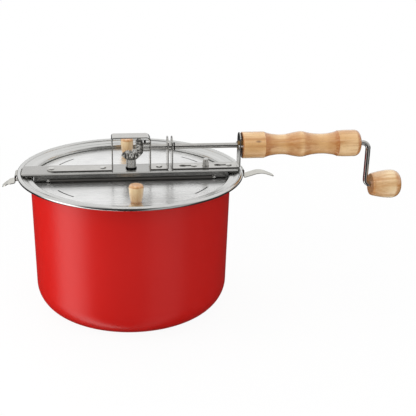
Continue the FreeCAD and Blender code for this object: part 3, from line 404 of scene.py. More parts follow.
class Nodes:
    """A shader node tree that is written from empty."""

    def __init__(self, owner: bpy.types.ID) -> None:
        """Empty the owner's node tree.

        Args:
            owner: a material or a world.
        """
        owner.use_nodes = True
        self.tree = owner.node_tree
        self.tree.nodes.clear()

    def add(self, kind: str, **values: object) -> bpy.types.Node:
        """Add a node and set its properties.

        Args:
            kind: the node's type.
            values: property names and their values.

        Returns:
            The node.
        """
        node = self.tree.nodes.new(kind)
        for key, value in values.items():
            setattr(node, key, value)
        return node

    def link(self, output: bpy.types.NodeSocket, target: bpy.types.NodeSocket) -> None:
        """Link one socket to another."""
        self.tree.links.new(output, target)

    def maths(self, operation: str, first: object, second: object = 0.0) -> bpy.types.NodeSocket:
        """Combine two sockets or numbers.

        Args:
            operation: the Math node's operation.
            first: a socket or a number.
            second: a socket or a number.

        Returns:
            The result's socket.
        """
        node = self.add("ShaderNodeMath", operation=operation)
        for socket, value in zip(node.inputs, (first, second)):
            if isinstance(value, bpy.types.NodeSocket):
                self.link(value, socket)
            else:
                socket.default_value = value
        return node.outputs[0]

    def spread(self, value: bpy.types.NodeSocket, low: float, high: float, to_low: float,
               to_high: float) -> bpy.types.NodeSocket:
        """Stretch a range of a value to another range, clamped.

        Args:
            value: the value's socket.
            low: start of the range taken.
            high: end of the range taken.
            to_low: what the start becomes.
            to_high: what the end becomes.

        Returns:
            The stretched value's socket.
        """
        node = self.add("ShaderNodeMapRange")
        self.link(value, node.inputs["Value"])
        for key, number in zip(("From Min", "From Max", "To Min", "To Max"), (low, high, to_low, to_high)):
            node.inputs[key].default_value = number
        return node.outputs["Result"]

    def dot(self, vector: bpy.types.NodeSocket, way: Sequence[float]) -> bpy.types.NodeSocket:
        """How much of a vector points a given way.

        Args:
            vector: the vector's socket.
            way: the direction.

        Returns:
            The dot product's socket.
        """
        node = self.add("ShaderNodeVectorMath", operation="DOT_PRODUCT")
        self.link(vector, node.inputs[0])
        node.inputs[1].default_value = way
        return node.outputs["Value"]

    def flattened(self, vector: bpy.types.NodeSocket, keep: Sequence[float]) -> bpy.types.NodeSocket:
        """A vector with some of its parts left out.

        Args:
            vector: the vector's socket.
            keep: 1 for each part that stays, 0 for each that goes.

        Returns:
            The remaining vector's socket.
        """
        node = self.add("ShaderNodeVectorMath", operation="MULTIPLY")
        self.link(vector, node.inputs[0])
        node.inputs[1].default_value = keep
        return node.outputs[0]

    def either(self, share: bpy.types.NodeSocket, first: bpy.types.NodeSocket,
               second: bpy.types.NodeSocket) -> bpy.types.NodeSocket:
        """Mix two shaders.

        Args:
            share: how much of the second one there is.
            first: a shader's socket.
            second: a shader's socket.

        Returns:
            The mixed shader's socket.
        """
        node = self.add("ShaderNodeMixShader")
        for index, socket in enumerate((share, first, second)):
            self.link(socket, node.inputs[index])
        return node.outputs[0]

    def mirror_rays(self) -> tuple[bpy.types.NodeSocket, bpy.types.NodeSocket]:
        """Tell rays by where they come from.

        Returns:
            Two sockets: 1 for rays straight from the camera, and 1 for rays that metal or glass sends on.
        """
        path = self.add("ShaderNodeLightPath")
        shiny = self.maths("MAXIMUM", path.outputs["Is Glossy Ray"], path.outputs["Is Transmission Ray"])
        return path.outputs["Is Camera Ray"], shiny


class Recipe(Nodes):
    """The nodes of one material, with a Principled shader at their end."""

    def __init__(self, name: str) -> None:
        """Start an empty recipe.

        Args:
            name: the material's name.
        """
        self.material = bpy.data.materials.new(name)
        super().__init__(self.material)
        self.output = self.add("ShaderNodeOutputMaterial")
        self.shader = self.add("ShaderNodeBsdfPrincipled")
        self.link(self.shader.outputs["BSDF"], self.output.inputs["Surface"])
        self.place = self.add("ShaderNodeTexCoord").outputs["Object"]

    def set(self, **values: object) -> None:
        """Set the shader's own sockets; an underscore in a name stands for a space."""
        for key, value in values.items():
            self.shader.inputs[key.replace("_", " ")].default_value = value

    def mapped(self, scale: Sequence[float], centre: Sequence[float] = (0, 0, 0)) -> bpy.types.NodeSocket:
        """Object coordinates, moved and then scaled.

        Args:
            scale: how many pattern units in a metre, along each axis.
            centre: the point of the object that becomes the pattern's origin.

        Returns:
            The coordinate's socket.
        """
        shift = self.add("ShaderNodeVectorMath", operation="SUBTRACT")
        self.link(self.place, shift.inputs[0])
        shift.inputs[1].default_value = centre
        node = self.add("ShaderNodeMapping")
        self.link(shift.outputs[0], node.inputs["Vector"])
        node.inputs["Scale"].default_value = scale
        return node.outputs["Vector"]

    def noise(self, where: bpy.types.NodeSocket, scale: float, detail: float = 4.0,
              rough: float = 0.55, dimensions: str = "3D") -> bpy.types.NodeSocket:
        """A noise pattern from 0 to 1.

        Args:
            where: coordinate socket, or the value for a 1D pattern.
            scale: the pattern's scale.
            detail: layers of finer noise.
            rough: strength of the finer layers.
            dimensions: "3D" or "1D".

        Returns:
            The pattern's socket.
        """
        node = self.add("ShaderNodeTexNoise", noise_dimensions=dimensions)
        node.inputs["Scale"].default_value = scale
        node.inputs["Detail"].default_value = detail
        node.inputs["Roughness"].default_value = rough
        self.link(where, node.inputs["W" if dimensions == "1D" else "Vector"])
        return node.outputs["Fac"]

    def blend(self, share: bpy.types.NodeSocket, first: object, second: object) -> bpy.types.NodeSocket:
        """Mix two colours.

        Args:
            share: socket that says how much of the second colour there is.
            first: a colour or a colour's socket.
            second: a colour or a colour's socket.

        Returns:
            The mixed colour's socket.
        """
        node = self.add("ShaderNodeMix", data_type="RGBA")
        self.link(share, node.inputs[0])
        for index, value in ((6, first), (7, second)):
            if isinstance(value, bpy.types.NodeSocket):
                self.link(value, node.inputs[index])
            else:
                node.inputs[index].default_value = (*value, 1.0)
        return node.outputs[2]

    def bump(self, height: bpy.types.NodeSocket, depth: float, strength: float = 1.0,
             under: Optional[bpy.types.NodeSocket] = None) -> bpy.types.NodeSocket:
        """Make the surface rise and fall with a value.

        Args:
            height: the value's socket, 0 to 1.
            depth: how far the surface moves, in metres.
            strength: how much of it shows.
            under: a coarser bump that this one lies on.

        Returns:
            The normal's socket, which is also linked to the shader.
        """
        node = self.add("ShaderNodeBump")
        node.inputs["Distance"].default_value = depth
        node.inputs["Strength"].default_value = strength
        self.link(height, node.inputs["Height"])
        if under is not None:
            self.link(under, node.inputs["Normal"])
        self.link(node.outputs["Normal"], self.shader.inputs["Normal"])
        return node.outputs["Normal"]

    def colour(self, socket: bpy.types.NodeSocket) -> None:
        """Use a colour socket as the shader's base colour."""
        self.link(socket, self.shader.inputs["Base Color"])

    def roughness(self, socket: bpy.types.NodeSocket) -> None:
        """Use a value socket as the shader's roughness."""
        self.link(socket, self.shader.inputs["Roughness"])

    def radius_from(self, where: bpy.types.NodeSocket, keep: Sequence[float]) -> bpy.types.NodeSocket:
        """Distance from an axis through the pattern's origin.

        Args:
            where: coordinate socket.
            keep: 1 for the axes that count, 0 for the one along the axis.

        Returns:
            The distance's socket.
        """
        length = self.add("ShaderNodeVectorMath", operation="LENGTH")
        self.link(self.flattened(where, keep), length.inputs[0])
        return length.outputs["Value"]


class Finish:
    """A finish that makes its material once and hands it out."""

    made: dict[str, bpy.types.Material] = {}

    def recipe(self) -> Recipe:
        """Build the material's nodes."""
        raise NotImplementedError

    def material(self) -> bpy.types.Material:
        """Hand out the finish's material, made the first time it is asked for.

        Returns:
            The material.
        """
        key = repr(self)
        if key not in Finish.made:
            Finish.made[key] = self.recipe().material
        return Finish.made[key]


@dataclass(frozen=True)
class Enamel(Finish):
    """Baked powder coat on the pot's outside."""

    red: Colour = srgb(195, 13, 4)
    worn: Colour = srgb(120, 30, 26)
    scuff_height: float = 4.0 * MM
    scratches: Place = (140.0, 140.0, 1400.0)
    cloud_scale: float = 16.0
    peel_scale: float = 620.0
    peel_depth: float = 0.035 * MM
    speck_scale: float = 2600.0
    speck_depth: float = 0.01 * MM
    tones: Span = (0.95, 1.03)
    scratched: Span = (0.52, 0.62)
    dull: Span = (0.285, 0.335)
    scuffed: float = 0.3
    gloss: float = 0.33

    def recipe(self) -> Recipe:
        """Red coat with orange peel, faint cloudiness and scuffs where it stands.

        Returns:
            The material's recipe.
        """
        coat = Recipe("red_powder_coat")
        clouds = coat.noise(coat.place, self.cloud_scale, detail=1.0)
        peel = coat.noise(coat.place, self.peel_scale, detail=2.0, rough=0.4)
        speck = coat.noise(coat.place, self.speck_scale, detail=1.0)
        height = coat.add("ShaderNodeSeparateXYZ")
        coat.link(coat.place, height.inputs[0])
        low = coat.spread(height.outputs["Z"], 0.0, self.scuff_height, 1.0, 0.0)
        scratches = coat.noise(coat.mapped(self.scratches), 1.0, detail=5.0, rough=0.7)
        scuffs = coat.maths("MULTIPLY", low, coat.spread(scratches, *self.scratched, 0.0, 1.0))
        tint = coat.blend(clouds, *(faded(self.red, amount) for amount in self.tones))
        coat.colour(coat.blend(scuffs, tint, self.worn))
        scuffed = coat.maths("MULTIPLY", scuffs, self.scuffed)
        coat.roughness(coat.maths("ADD", coat.spread(clouds, 0.0, 1.0, *self.dull), scuffed))
        fine = coat.bump(speck, self.speck_depth, strength=0.25)
        coat.bump(peel, self.peel_depth, strength=0.35, under=fine)
        coat.set(Specular_IOR_Level=self.gloss)
        return coat


@dataclass(frozen=True)
class SpunMetal(Finish):
    """Metal polished or turned on a lathe, its marks running round an axis."""

    name: str
    colour: Colour
    shine: float = 0.14
    mark_pitch: float = 0.5 * MM
    mark_depth: float = 0.004 * MM
    mark_shade: float = 0.78
    mark_share: float = 0.35
    mark_slant: float = 1.3
    tones: Span = (0.9, 1.06)
    smear_scale: float = 38.0
    centre: Place = (0.0, 0.0, 0.0)
    across: Place = (1.0, 1.0, 0.0)

    def recipe(self) -> Recipe:
        """Fine rings, faint smears and a slight change of tone.

        Returns:
            The material's recipe.
        """
        metal = Recipe(self.name)
        where = metal.mapped((1, 1, 1), self.centre)
        away = metal.radius_from(where, self.across)
        along = metal.dot(where, [1.0 - keep for keep in self.across])
        line = metal.maths("ADD", away, metal.maths("MULTIPLY", along, self.mark_slant))
        rings = metal.noise(line, 1.0 / self.mark_pitch, detail=5.0, rough=0.7, dimensions="1D")
        smears = metal.noise(metal.place, self.smear_scale)
        tone = metal.blend(smears, *(faded(self.colour, amount) for amount in self.tones))
        shaded = metal.spread(rings, 0.3, 0.75, 0.0, self.mark_share)
        metal.colour(metal.blend(shaded, tone, faded(self.colour, self.mark_shade)))
        base = metal.spread(smears, 0.3, 0.75, self.shine * 0.75, self.shine * 1.35)
        metal.roughness(metal.maths("ADD", base, metal.spread(rings, 0.35, 0.8, 0.0, self.shine * 0.5)))
        metal.bump(rings, self.mark_depth, strength=0.6)
        metal.set(Metallic=1.0)
        return metal


@dataclass(frozen=True)
class BrushedSheet(Finish):
    """Sheet metal with fine marks along X and, where asked for, painted shade along the hinges."""

    name: str
    colour: Colour
    shine: float = 0.26
    marks_along: float = 18.0
    marks_across: float = 1500.0
    mark_depth: float = 0.006 * MM
    mark_shade: float = 0.72
    mark_share: float = 0.5
    coarser: float = 0.3
    smear_scale: float = 30.0
    tones: Span = (0.86, 1.06)
    # Painted shade along the hinge line: how far it reaches, its fade, its dark colour, its share and the
    # roughness it adds.
    painted_shade_from: float = 0.0
    painted_shade_fade: float = 1.2 * MM
    painted_shade: Colour = srgb(52, 49, 44)
    painted_shade_share: float = 0.93
    painted_shade_dullness: float = 0.3

    def recipe(self) -> Recipe:
        """Long fine scratches, cloudy handling marks, a slight change of tone, painted shade along a hinge.

        Returns:
            The material's recipe.
        """
        metal = Recipe(self.name)
        scale = (self.marks_along, self.marks_across, self.marks_across)
        marks = metal.noise(metal.mapped(scale), 1.0, detail=5.0, rough=0.65)
        coarse = metal.noise(metal.mapped([value * self.coarser for value in scale]), 1.0, detail=3.0)
        smears = metal.noise(metal.place, self.smear_scale, detail=5.0, rough=0.6)
        cloudy = metal.spread(smears, 0.3, 0.72, 0.0, 1.0)
        tone = metal.blend(cloudy, *(faded(self.colour, amount) for amount in self.tones))
        shaded = metal.spread(marks, 0.45, 0.75, 0.0, self.mark_share)
        tone = metal.blend(shaded, tone, faded(self.colour, self.mark_shade))
        rough = metal.maths("ADD", metal.spread(coarse, 0.3, 0.7, self.shine * 0.78, self.shine * 1.3),
                            metal.spread(smears, 0.5, 0.8, 0.0, self.shine * 0.4))
        # Painted shade: a dark band along the hinge line stands in for the shadow under the crossbar's edge.
        if self.painted_shade_from:
            off = metal.maths("ABSOLUTE", metal.dot(metal.place, (0, 1, 0)))
            shade_end = self.painted_shade_from + self.painted_shade_fade
            hinge_shade = metal.spread(off, self.painted_shade_from, shade_end, self.painted_shade_share, 0.0)
            tone = metal.blend(hinge_shade, tone, self.painted_shade)
            rough = metal.maths("ADD", rough, metal.maths("MULTIPLY", hinge_shade, self.painted_shade_dullness))
        metal.colour(tone)
        metal.roughness(rough)
        metal.bump(marks, self.mark_depth, strength=0.5)
        metal.set(Metallic=1.0)
        return metal


@dataclass(frozen=True)
class PlatedSteel(Finish):
    """Bright plated steel with a fine grain, slightly dulled in places."""

    name: str
    colour: Colour
    shine: float = 0.22
    dull: float = 0.7
    grain: float = 1800.0
    grain_depth: float = 0.008 * MM
    cloud_scale: float = 90.0
    spot_scale: float = 420.0
    spot_shade: float = 0.55
    spot_share: float = 0.4
    spot_dullness: float = 0.12
    light_tone: float = 1.1

    def recipe(self) -> Recipe:
        """Fine grain, cloudy plating and small dull spots.

        Returns:
            The material's recipe.
        """
        metal = Recipe(self.name)
        clouds = metal.noise(metal.place, self.cloud_scale, rough=0.6)
        grain = metal.noise(metal.place, self.grain, detail=2.0)
        blots = metal.noise(metal.place, self.spot_scale, detail=3.0, rough=0.7)
        spots = metal.spread(blots, 0.62, 0.72, 0.0, 1.0)
        tone = metal.blend(clouds, faded(self.colour, self.dull), faded(self.colour, self.light_tone))
        spotted = metal.maths("MULTIPLY", spots, self.spot_share)
        metal.colour(metal.blend(spotted, tone, faded(self.colour, self.spot_shade)))
        base = metal.spread(clouds, 0.3, 0.75, self.shine * 0.7, self.shine * 1.4)
        metal.roughness(metal.maths("ADD", base, metal.maths("MULTIPLY", spots, self.spot_dullness)))
        metal.bump(grain, self.grain_depth, strength=0.3)
        metal.set(Metallic=1.0)
        return metal


@dataclass(frozen=True)
class GearMetal(Finish):
    """Cast gear metal: bright where the teeth rub, darker towards the tooth roots."""

    name: str
    centre: Place
    across: Place
    root: float
    tip: float
    bright: Colour = srgb(222, 220, 214)
    hub: Colour = srgb(204, 203, 199)
    tooth_root_dark: Colour = srgb(40, 37, 33)
    blot_scale: float = 520.0
    cast_scale: float = 1500.0
    cast_depth: float = 0.02 * MM
    hub_from: Span = (0.66, 0.8)
    bare_from: Span = (0.82, 0.9)
    tones: Span = (0.8, 1.05)
    dull: Span = (0.2, 0.34)
    tooth_root_dullness: float = 0.2
    shine_of_metal: float = 0.55

    def recipe(self) -> Recipe:
        """Colour by distance from the gear's axis, with a cast surface.

        Returns:
            The material's recipe.
        """
        metal = Recipe(self.name)
        away = metal.radius_from(metal.mapped((1, 1, 1), self.centre), self.across)
        hub, hub_end, bare, bare_end = (self.root * share for share in self.hub_from + self.bare_from)
        blots = metal.noise(metal.place, self.blot_scale, rough=0.6)
        # Darker towards the tooth roots, in blotches, and rougher there.
        deep = metal.spread(away, self.root, self.tip, 1.0, 0.0)
        inner = metal.spread(away, bare, bare_end, 0.0, 1.0)
        share = metal.maths("MULTIPLY", deep, inner)
        rootward_dark = metal.maths("MULTIPLY", share, metal.spread(blots, 0.2, 0.6, 0.55, 1.0))
        tone = metal.blend(blots, *(faded(self.bright, amount) for amount in self.tones))
        tone = metal.blend(metal.spread(away, hub, hub_end, 1.0, 0.0), tone, self.hub)
        metal.colour(metal.blend(rootward_dark, tone, self.tooth_root_dark))
        rough = metal.spread(blots, 0.3, 0.7, *self.dull)
        metal.roughness(metal.maths("ADD", rough, metal.maths("MULTIPLY", rootward_dark, self.tooth_root_dullness)))
        metal.bump(metal.noise(metal.place, self.cast_scale, detail=3.0), self.cast_depth, strength=0.35)
        metal.set(Metallic=self.shine_of_metal)
        return metal


@dataclass(frozen=True)
class Beech(Finish):
    """Varnished beech, its grain along one axis, darker where the lathe has cut across the grain, as end
    grain is; this darkening also paints shade into the coves and onto the flat ends.
    """

    name: str
    along: int
    centre: Place
    pale: Colour = srgb(243, 208, 156)
    warm: Colour = srgb(219, 171, 112)
    late: Colour = srgb(178, 114, 50)
    # End-grain colour, also used as painted shade in the coves and on the flat ends.
    cut: Colour = srgb(176, 106, 40)
    knot: Optional[Place] = None
    knot_radius: Span = (0.5 * MM, 1.9 * MM)
    fibre_depth: float = 0.02 * MM
    wander: Span = (14.0, 40.0)
    bands: Span = (7.0, 150.0)
    fibres: Span = (60.0, 2400.0)
    flecks: Span = (420.0, 2600.0)
    blots: Span = (160.0, 420.0)
    steepness: Span = (0.07, 0.3)
    dull: Span = (0.3, 0.46)
    varnish_dullness: float = 0.12
    varnish_index: float = 1.5
    gloss: float = 0.4

    def stretched(self, along: float, across: float) -> list[float]:
        """Pattern scales with one value along the grain and another across it."""
        return [along if axis == self.along else across for axis in range(3)]

    def pattern(self, wood: Recipe, scales: Span, detail: float,
                rough: float = 0.55) -> bpy.types.NodeSocket:
        """Noise stretched along the grain.

        Args:
            wood: the recipe.
            scales: pattern units in a metre, along the grain and across it.
            detail: layers of finer noise.
            rough: strength of the finer layers.

        Returns:
            The pattern's socket.
        """
        return wood.noise(wood.mapped(self.stretched(*scales), self.centre), 1.0, detail, rough)

    def end_grain_and_shade(self, wood: Recipe) -> bpy.types.NodeSocket:
        """How steeply the surface cuts across the grain, blotchy as end grain is; this share also paints
        shade into the coves and onto the flat ends.

        Args:
            wood: the recipe.

        Returns:
            The share's socket.
        """
        facing = wood.add("ShaderNodeTexCoord").outputs["Normal"]
        axis = [1.0 if k == self.along else 0.0 for k in range(3)]
        steep = wood.maths("ABSOLUTE", wood.dot(facing, axis))
        blots = self.pattern(wood, self.blots, 4.0, 0.7)
        shown = wood.spread(steep, *self.steepness, 0.0, 1.0)
        return wood.maths("MULTIPLY", shown, wood.spread(blots, 0.3, 0.62, 0.45, 1.0))

    def recipe(self) -> Recipe:
        """Broad warm bands, fine fibres, short dark flecks, end grain with painted shade, and a clear coat.

        Returns:
            The material's recipe.
        """
        wood = Recipe(self.name)
        wander = self.pattern(wood, self.wander, 3.0)
        bands = self.pattern(wood, self.bands, 4.0, 0.6)
        fibres = self.pattern(wood, self.fibres, 4.0, 0.7)
        flecks = self.pattern(wood, self.flecks, 1.0, 0.4)
        tone = wood.blend(wood.spread(wander, 0.38, 0.62, 0.0, 1.0), self.pale, self.warm)
        tone = wood.blend(wood.spread(bands, 0.5, 0.64, 0.0, 0.62), tone, self.late)
        tone = wood.blend(wood.spread(fibres, 0.5, 0.8, 0.0, 0.35), tone, self.late)
        dash = wood.spread(flecks, 0.66, 0.72, 0.0, 0.5)
        tone = wood.blend(dash, tone, faded(self.late, 0.6))
        # End grain darkening, partly real and partly painted shade in the coves and on the flat ends.
        tone = wood.blend(self.end_grain_and_shade(wood), tone, self.cut)
        if self.knot is not None:
            near = wood.radius_from(wood.mapped(self.stretched(0.45, 1.0), self.knot), (1, 1, 1))
            tone = wood.blend(wood.spread(near, *self.knot_radius, 0.85, 0.0), tone, faded(self.late, 0.4))
        wood.colour(tone)
        wood.roughness(wood.spread(fibres, 0.3, 0.8, *self.dull))
        wood.bump(wood.maths("SUBTRACT", fibres, dash), self.fibre_depth, strength=0.25)
        wood.set(Coat_Weight=1.0, Coat_Roughness=self.varnish_dullness, Coat_IOR=self.varnish_index,
                 Specular_IOR_Level=self.gloss)
        return wood


@dataclass(frozen=True)
class KnobBeech(Beech):
    """The three knobs' beech, paler than the grip's."""

    pale: Colour = srgb(251, 226, 184)
    warm: Colour = srgb(236, 203, 153)
    late: Colour = srgb(198, 144, 84)
    # End-grain colour, also used as painted shade in the coves and on the flat ends.
    cut: Colour = srgb(190, 128, 66)


# Sub-assemblies


@dataclass
class SubAssembly:
    """Pieces that belong together. Each kind builds its meshes and dresses them."""

    def build(self) -> None:
        """Model and dress the pieces."""
        raise NotImplementedError

    def fit(self, piece: bpy.types.Object, body: Body, finish: Finish, slot: str,
            nodes: Sequence[str]) -> None:
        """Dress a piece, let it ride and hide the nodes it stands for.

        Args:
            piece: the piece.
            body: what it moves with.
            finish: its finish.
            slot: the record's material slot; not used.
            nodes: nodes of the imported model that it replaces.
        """
        piece.data.materials.clear()
        piece.data.materials.append(finish.material())
        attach(piece, body.value)
        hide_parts(*nodes)
        LOG.info("%s: %d faces, rides on %s", piece.name, len(piece.data.polygons), body.value)

    def second_finish(self, piece: bpy.types.Object, finish: Finish,
                      test: Callable[[bpy.types.MeshPolygon], bool]) -> None:
        """Give some faces of a piece another finish.

        Args:
            piece: the piece.
            finish: the other finish.
            test: called with each face.
        """
        piece.data.materials.append(finish.material())
        for face in piece.data.polygons:
            if test(face):
                face.material_index = len(piece.data.materials) - 1

    def dress(self, node: str, finish: Finish) -> None:
        """Give a node that stays as it is its finish.

        Args:
            node: the node.
            finish: its finish.
        """
        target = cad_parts[node]
        for slot in target.material_slots:
            slot.material = finish.material()
        LOG.info("%s: kept, dressed as %s", node, finish.material().name)


class Metals:
    """The popper's metal finishes."""

    POLISHED = SpunMetal("polished_ring", srgb(206, 206, 204), shine=0.13)
    INSIDE = SpunMetal("spun_inside", srgb(190, 190, 188), shine=0.28, mark_pitch=1.2 * MM,
                       mark_depth=0.02 * MM)
    # The flap sheet carries painted shade along its hinge line.
    SHEET = BrushedSheet("brushed_flap", srgb(234, 234, 233), shine=0.24, painted_shade_from=20.3 * MM)
    CHANNEL = BrushedSheet("brushed_crossbar", srgb(172, 171, 168), shine=0.2)
    STRAP = PlatedSteel("plated_strap", srgb(192, 190, 186), shine=0.16)
    ROD = PlatedSteel("plated_rod", srgb(186, 184, 180), shine=0.16, dull=0.8)
    RIVET = PlatedSteel("bright_rivet", srgb(208, 207, 204), shine=0.16, dull=0.85)
    SPRING = BrushedSheet("spring_strip", srgb(200, 198, 190), shine=0.24)
    BLACK = PlatedSteel("black_oxide", srgb(38, 37, 36), shine=0.34)
    BRONZE = PlatedSteel("oiled_bush", srgb(150, 120, 74), shine=0.3)


@dataclass
class Pot(SubAssembly):
    """The red pot, spun from one sheet, bare inside."""

    top_radius: float = 114.0 * MM
    base_radius: float = 111.6 * MM
    corner: float = 30.5 * MM
    wall: float = 1.5 * MM
    rim_height: float = 156.2 * MM
    bead: float = 2.6 * MM
    foot_step: float = 0.5 * MM
    step_from: float = 0.86
    step_to: float = 0.88
    inside_lean: float = 0.1
    inside_play: float = 0.5 * MM
    lip_turn: float = 0.9
    corner_steps: int = 20
    inside_steps: int = 18
    bead_steps: int = 20
    steps_round: int = 160

    def outline(self) -> list[Point]:
        """Closed outline of the pot's wall.

        Returns:
            (radius, height) points from the middle of the base, out, up, over the rim and back inside.
        """
        foot = self.base_radius - self.corner
        bead_middle = (self.top_radius - self.wall + self.bead, self.rim_height)
        points = [(0.0, self.foot_step), (foot * self.step_from, self.foot_step), (foot * self.step_to, 0.0)]
        points += arc((foot, self.corner), self.corner, -90, 0, self.corner_steps)
        under = math.degrees(math.acos((self.bead - self.wall) / self.bead))
        points += arc(bead_middle, self.bead, -180 + under * self.lip_turn, 180, self.bead_steps)
        points += arc((foot, self.corner), self.corner - self.wall, 0, -90, self.inside_steps)
        points.append((0.0, self.wall))
        return points

    def build(self) -> None:
        """Spin the pot and leave its inside bare."""
        piece = lathe("pot_shell", self.outline(), self.steps_round)
        smooth(piece, TURNED_TURN)
        self.fit(piece, Body.POT, Enamel(), "red_enamel", ["pot"])

        def bare(face: bpy.types.MeshPolygon) -> bool:
            """Tell whether a face belongs to the pot's inside.

            Args:
                face: the face.

            Returns:
                True on the inner wall and on the floor.
            """
            middle = face.center
            away = math.hypot(middle.x, middle.y)
            inward = face.normal.x * middle.x + face.normal.y * middle.y < -self.inside_lean * away
            floor = face.normal.z > 0.5 and middle.z < self.corner
            inner = inward and away < self.top_radius - self.wall + self.inside_play
            return floor or (inner and middle.z < self.rim_height)

        self.second_finish(piece, Metals.INSIDE, bare)


@dataclass
class LidRing(SubAssembly):
    """Pressed ring: ledge, drop wall, shoulder and rolled hem, notched for the clips."""

    sheet: float = 0.8 * MM
    ledge_radius: float = 99.0 * MM
    ledge_height: float = 153.5 * MM
    drop_radius: float = 111.5 * MM
    shoulder_height: float = 159.5 * MM
    shoulder_radius: float = 117.7 * MM
    hem_radius: float = 126.0 * MM
    hem_height: float = 161.0 * MM
    hem: float = 2.5 * MM
    fold: float = 1.1 * MM
    shoulder_bend: float = 2.2 * MM
    hem_bend: float = 4.4 * MM
    roll_from: float = 172.0
    roll_to: float = -166.0
    notch_from: float = 118.6 * MM
    notch_low: float = 157.4 * MM
    notch_high: float = 161.8 * MM
    left_notch: float = 21.2 * MM
    right_notch: float = 16.2 * MM
    bend_steps: int = 8
    roll_steps: int = 28
    steps_round: int = 160

    def outline(self) -> list[Point]:
        """Closed outline of the ring's sheet.

        Returns:
            (radius, height) points.
        """
        corners = [
            (self.ledge_radius, self.ledge_height),
            (self.drop_radius, self.ledge_height),
            (self.drop_radius, self.shoulder_height),
            (self.shoulder_radius, self.shoulder_height),
            (self.hem_radius - self.hem, self.hem_height),
        ]
        middle = rounded_path(corners, [self.fold, self.shoulder_bend, self.hem_bend], self.bend_steps)
        upper = beside(middle, self.sheet / 2)[:-1]
        lower = beside(middle, -self.sheet / 2)[:-1]
        hem_middle = (self.hem_radius, self.hem_height)
        roll = arc(hem_middle, self.hem, self.roll_from, self.roll_to, self.roll_steps)
        return upper + roll + lower[::-1]

    def notch(self, side: int, width: float) -> bpy.types.Object:
        """Cutter for the notch that lets a clip out.

        Args:
            side: -1 for the left clip, 1 for the right one.
            width: the notch's width.

        Returns:
            The cutter.
        """
        reach = sorted((side * self.notch_from, side * (self.hem_radius + 4 * self.hem)))
        return block("notch", (reach[0], -width / 2, self.notch_low), (reach[1], width / 2, self.notch_high))

    def build(self) -> None:
        """Spin the ring and notch it."""
        piece = lathe("lid_ring_pressing", self.outline(), self.steps_round)
        cut_with(piece, [self.notch(-1, self.left_notch), self.notch(1, self.right_notch)])
        smooth(piece, TURNED_TURN)
        self.fit(piece, Body.LID, Metals.POLISHED, "polished_aluminium", ["lid_ring"])


@dataclass
class Channel(SubAssembly):
    """The folded crossbar and what holds it to the ring."""

    edge: float = 0.12 * MM

    def build(self) -> None:
        """Dress the crossbar, its rivets and the hinge wires."""
        piece = softened_copy("crossbar", "crossbar_channel", self.edge)
        self.fit(piece, Body.LID, Metals.CHANNEL, "brushed_aluminium", ["crossbar"])
        self.dress("ring_rivets", Metals.RIVET)
        for side in ("front", "back"):
            wire = softened_copy(f"{side}_hinge_wire", f"{side}_hinge_pin", self.edge)
            self.fit(wire, Body.LID, Metals.ROD, "bright_steel", [f"{side}_hinge_wire"])


@dataclass
class TurnedKnob:
    """Outline of a small turned wooden knob, with a blind bore or with a recess in its end."""

    length: float
    foot: float
    wide: float
    end: float
    bore: float
    nose: float
    recess: float = 0.0
    recess_depth: float = 0.0
    edge_break: float = 0.4 * MM
    bore_share: float = 0.7
    side_steps: int = 16
    nose_steps: int = 14

    def outline(self) -> list[Point]:
        """Closed outline round the bore: a side that swells to the widest place, then a rounded nose.

        Returns:
            (radius, height) points.
        """
        widest = self.length - self.nose
        points = [(self.bore, 0.0), (self.foot - self.edge_break, 0.0)]
        for k in range(1, self.side_steps + 1):
            share = k / self.side_steps
            swell = self.foot + (self.wide - self.foot) * math.sin(share * math.pi / 2)
            points.append((swell, self.edge_break + (widest - self.edge_break) * share))
        for k in range(1, self.nose_steps + 1):
            angle = math.radians(90 * k / self.nose_steps)
            radius = self.end + (self.wide - self.end) * math.cos(angle)
            points.append((radius, widest + self.nose * math.sin(angle)))
        if self.recess:
            floor = self.length - self.recess_depth
            points.append((self.recess + self.edge_break, self.length))
            points.append((self.recess, self.length - self.edge_break))
            points += [(self.recess, floor), (self.bore, floor)]
        else:
            floor = self.length * self.bore_share
            points += [(0.0, self.length), (0.0, floor), (self.bore, floor)]
        return points


@dataclass
class Flap(SubAssembly):
    """One half-round flap with its knob and screw."""

    side: str
    facing: int
    edge: float = 0.12 * MM
    knob_out: float = 88.0 * MM
    plate_top: float = 155.0 * MM
    knob_gap: float = 0.02 * MM
    slot_length: float = 8.0 * MM
    slot_width: float = 0.9 * MM
    slot_depth: float = 0.8 * MM
    steps_round: int = 72
    knob: TurnedKnob = field(default_factory=lambda: TurnedKnob(
        19.0 * MM, 6.1 * MM, 7.9 * MM, 5.6 * MM, 1.8 * MM, 3.2 * MM))

    def build(self) -> None:
        """Dress the flap, turn its knob and cut its screw's slot."""
        body = Body.FRONT_FLAP if self.facing < 0 else Body.BACK_FLAP
        plate = softened_copy(f"{self.side}_flap", f"{self.side}_flap_plate", self.edge)
        self.fit(plate, body, Metals.SHEET, "brushed_aluminium", [f"{self.side}_flap"])
        centre = (0.0, self.facing * self.knob_out, self.plate_top + self.knob_gap)
        wood = lathe(f"{self.side}_knob_wood", self.knob.outline(), self.steps_round)
        lift_to(wood, centre)
        smooth(wood, TURNED_TURN)
        finish = KnobBeech(f"{self.side}_knob_beech", 2, centre)
        self.fit(wood, body, finish, "beech", [f"{self.side}_flap_knob"])
        screw = softened_copy(f"{self.side}_knob_screw", f"{self.side}_pan_screw", self.edge)
        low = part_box(f"{self.side}_knob_screw")[0]
        slot = block("slot", (-self.slot_length / 2, centre[1] - self.slot_width / 2, low.z - MM),
                     (self.slot_length / 2, centre[1] + self.slot_width / 2, low.z + self.slot_depth))
        cut_with(screw, [slot])
        smooth(screw)
        self.fit(screw, body, Metals.RIVET, "bright_steel", [f"{self.side}_knob_screw"])


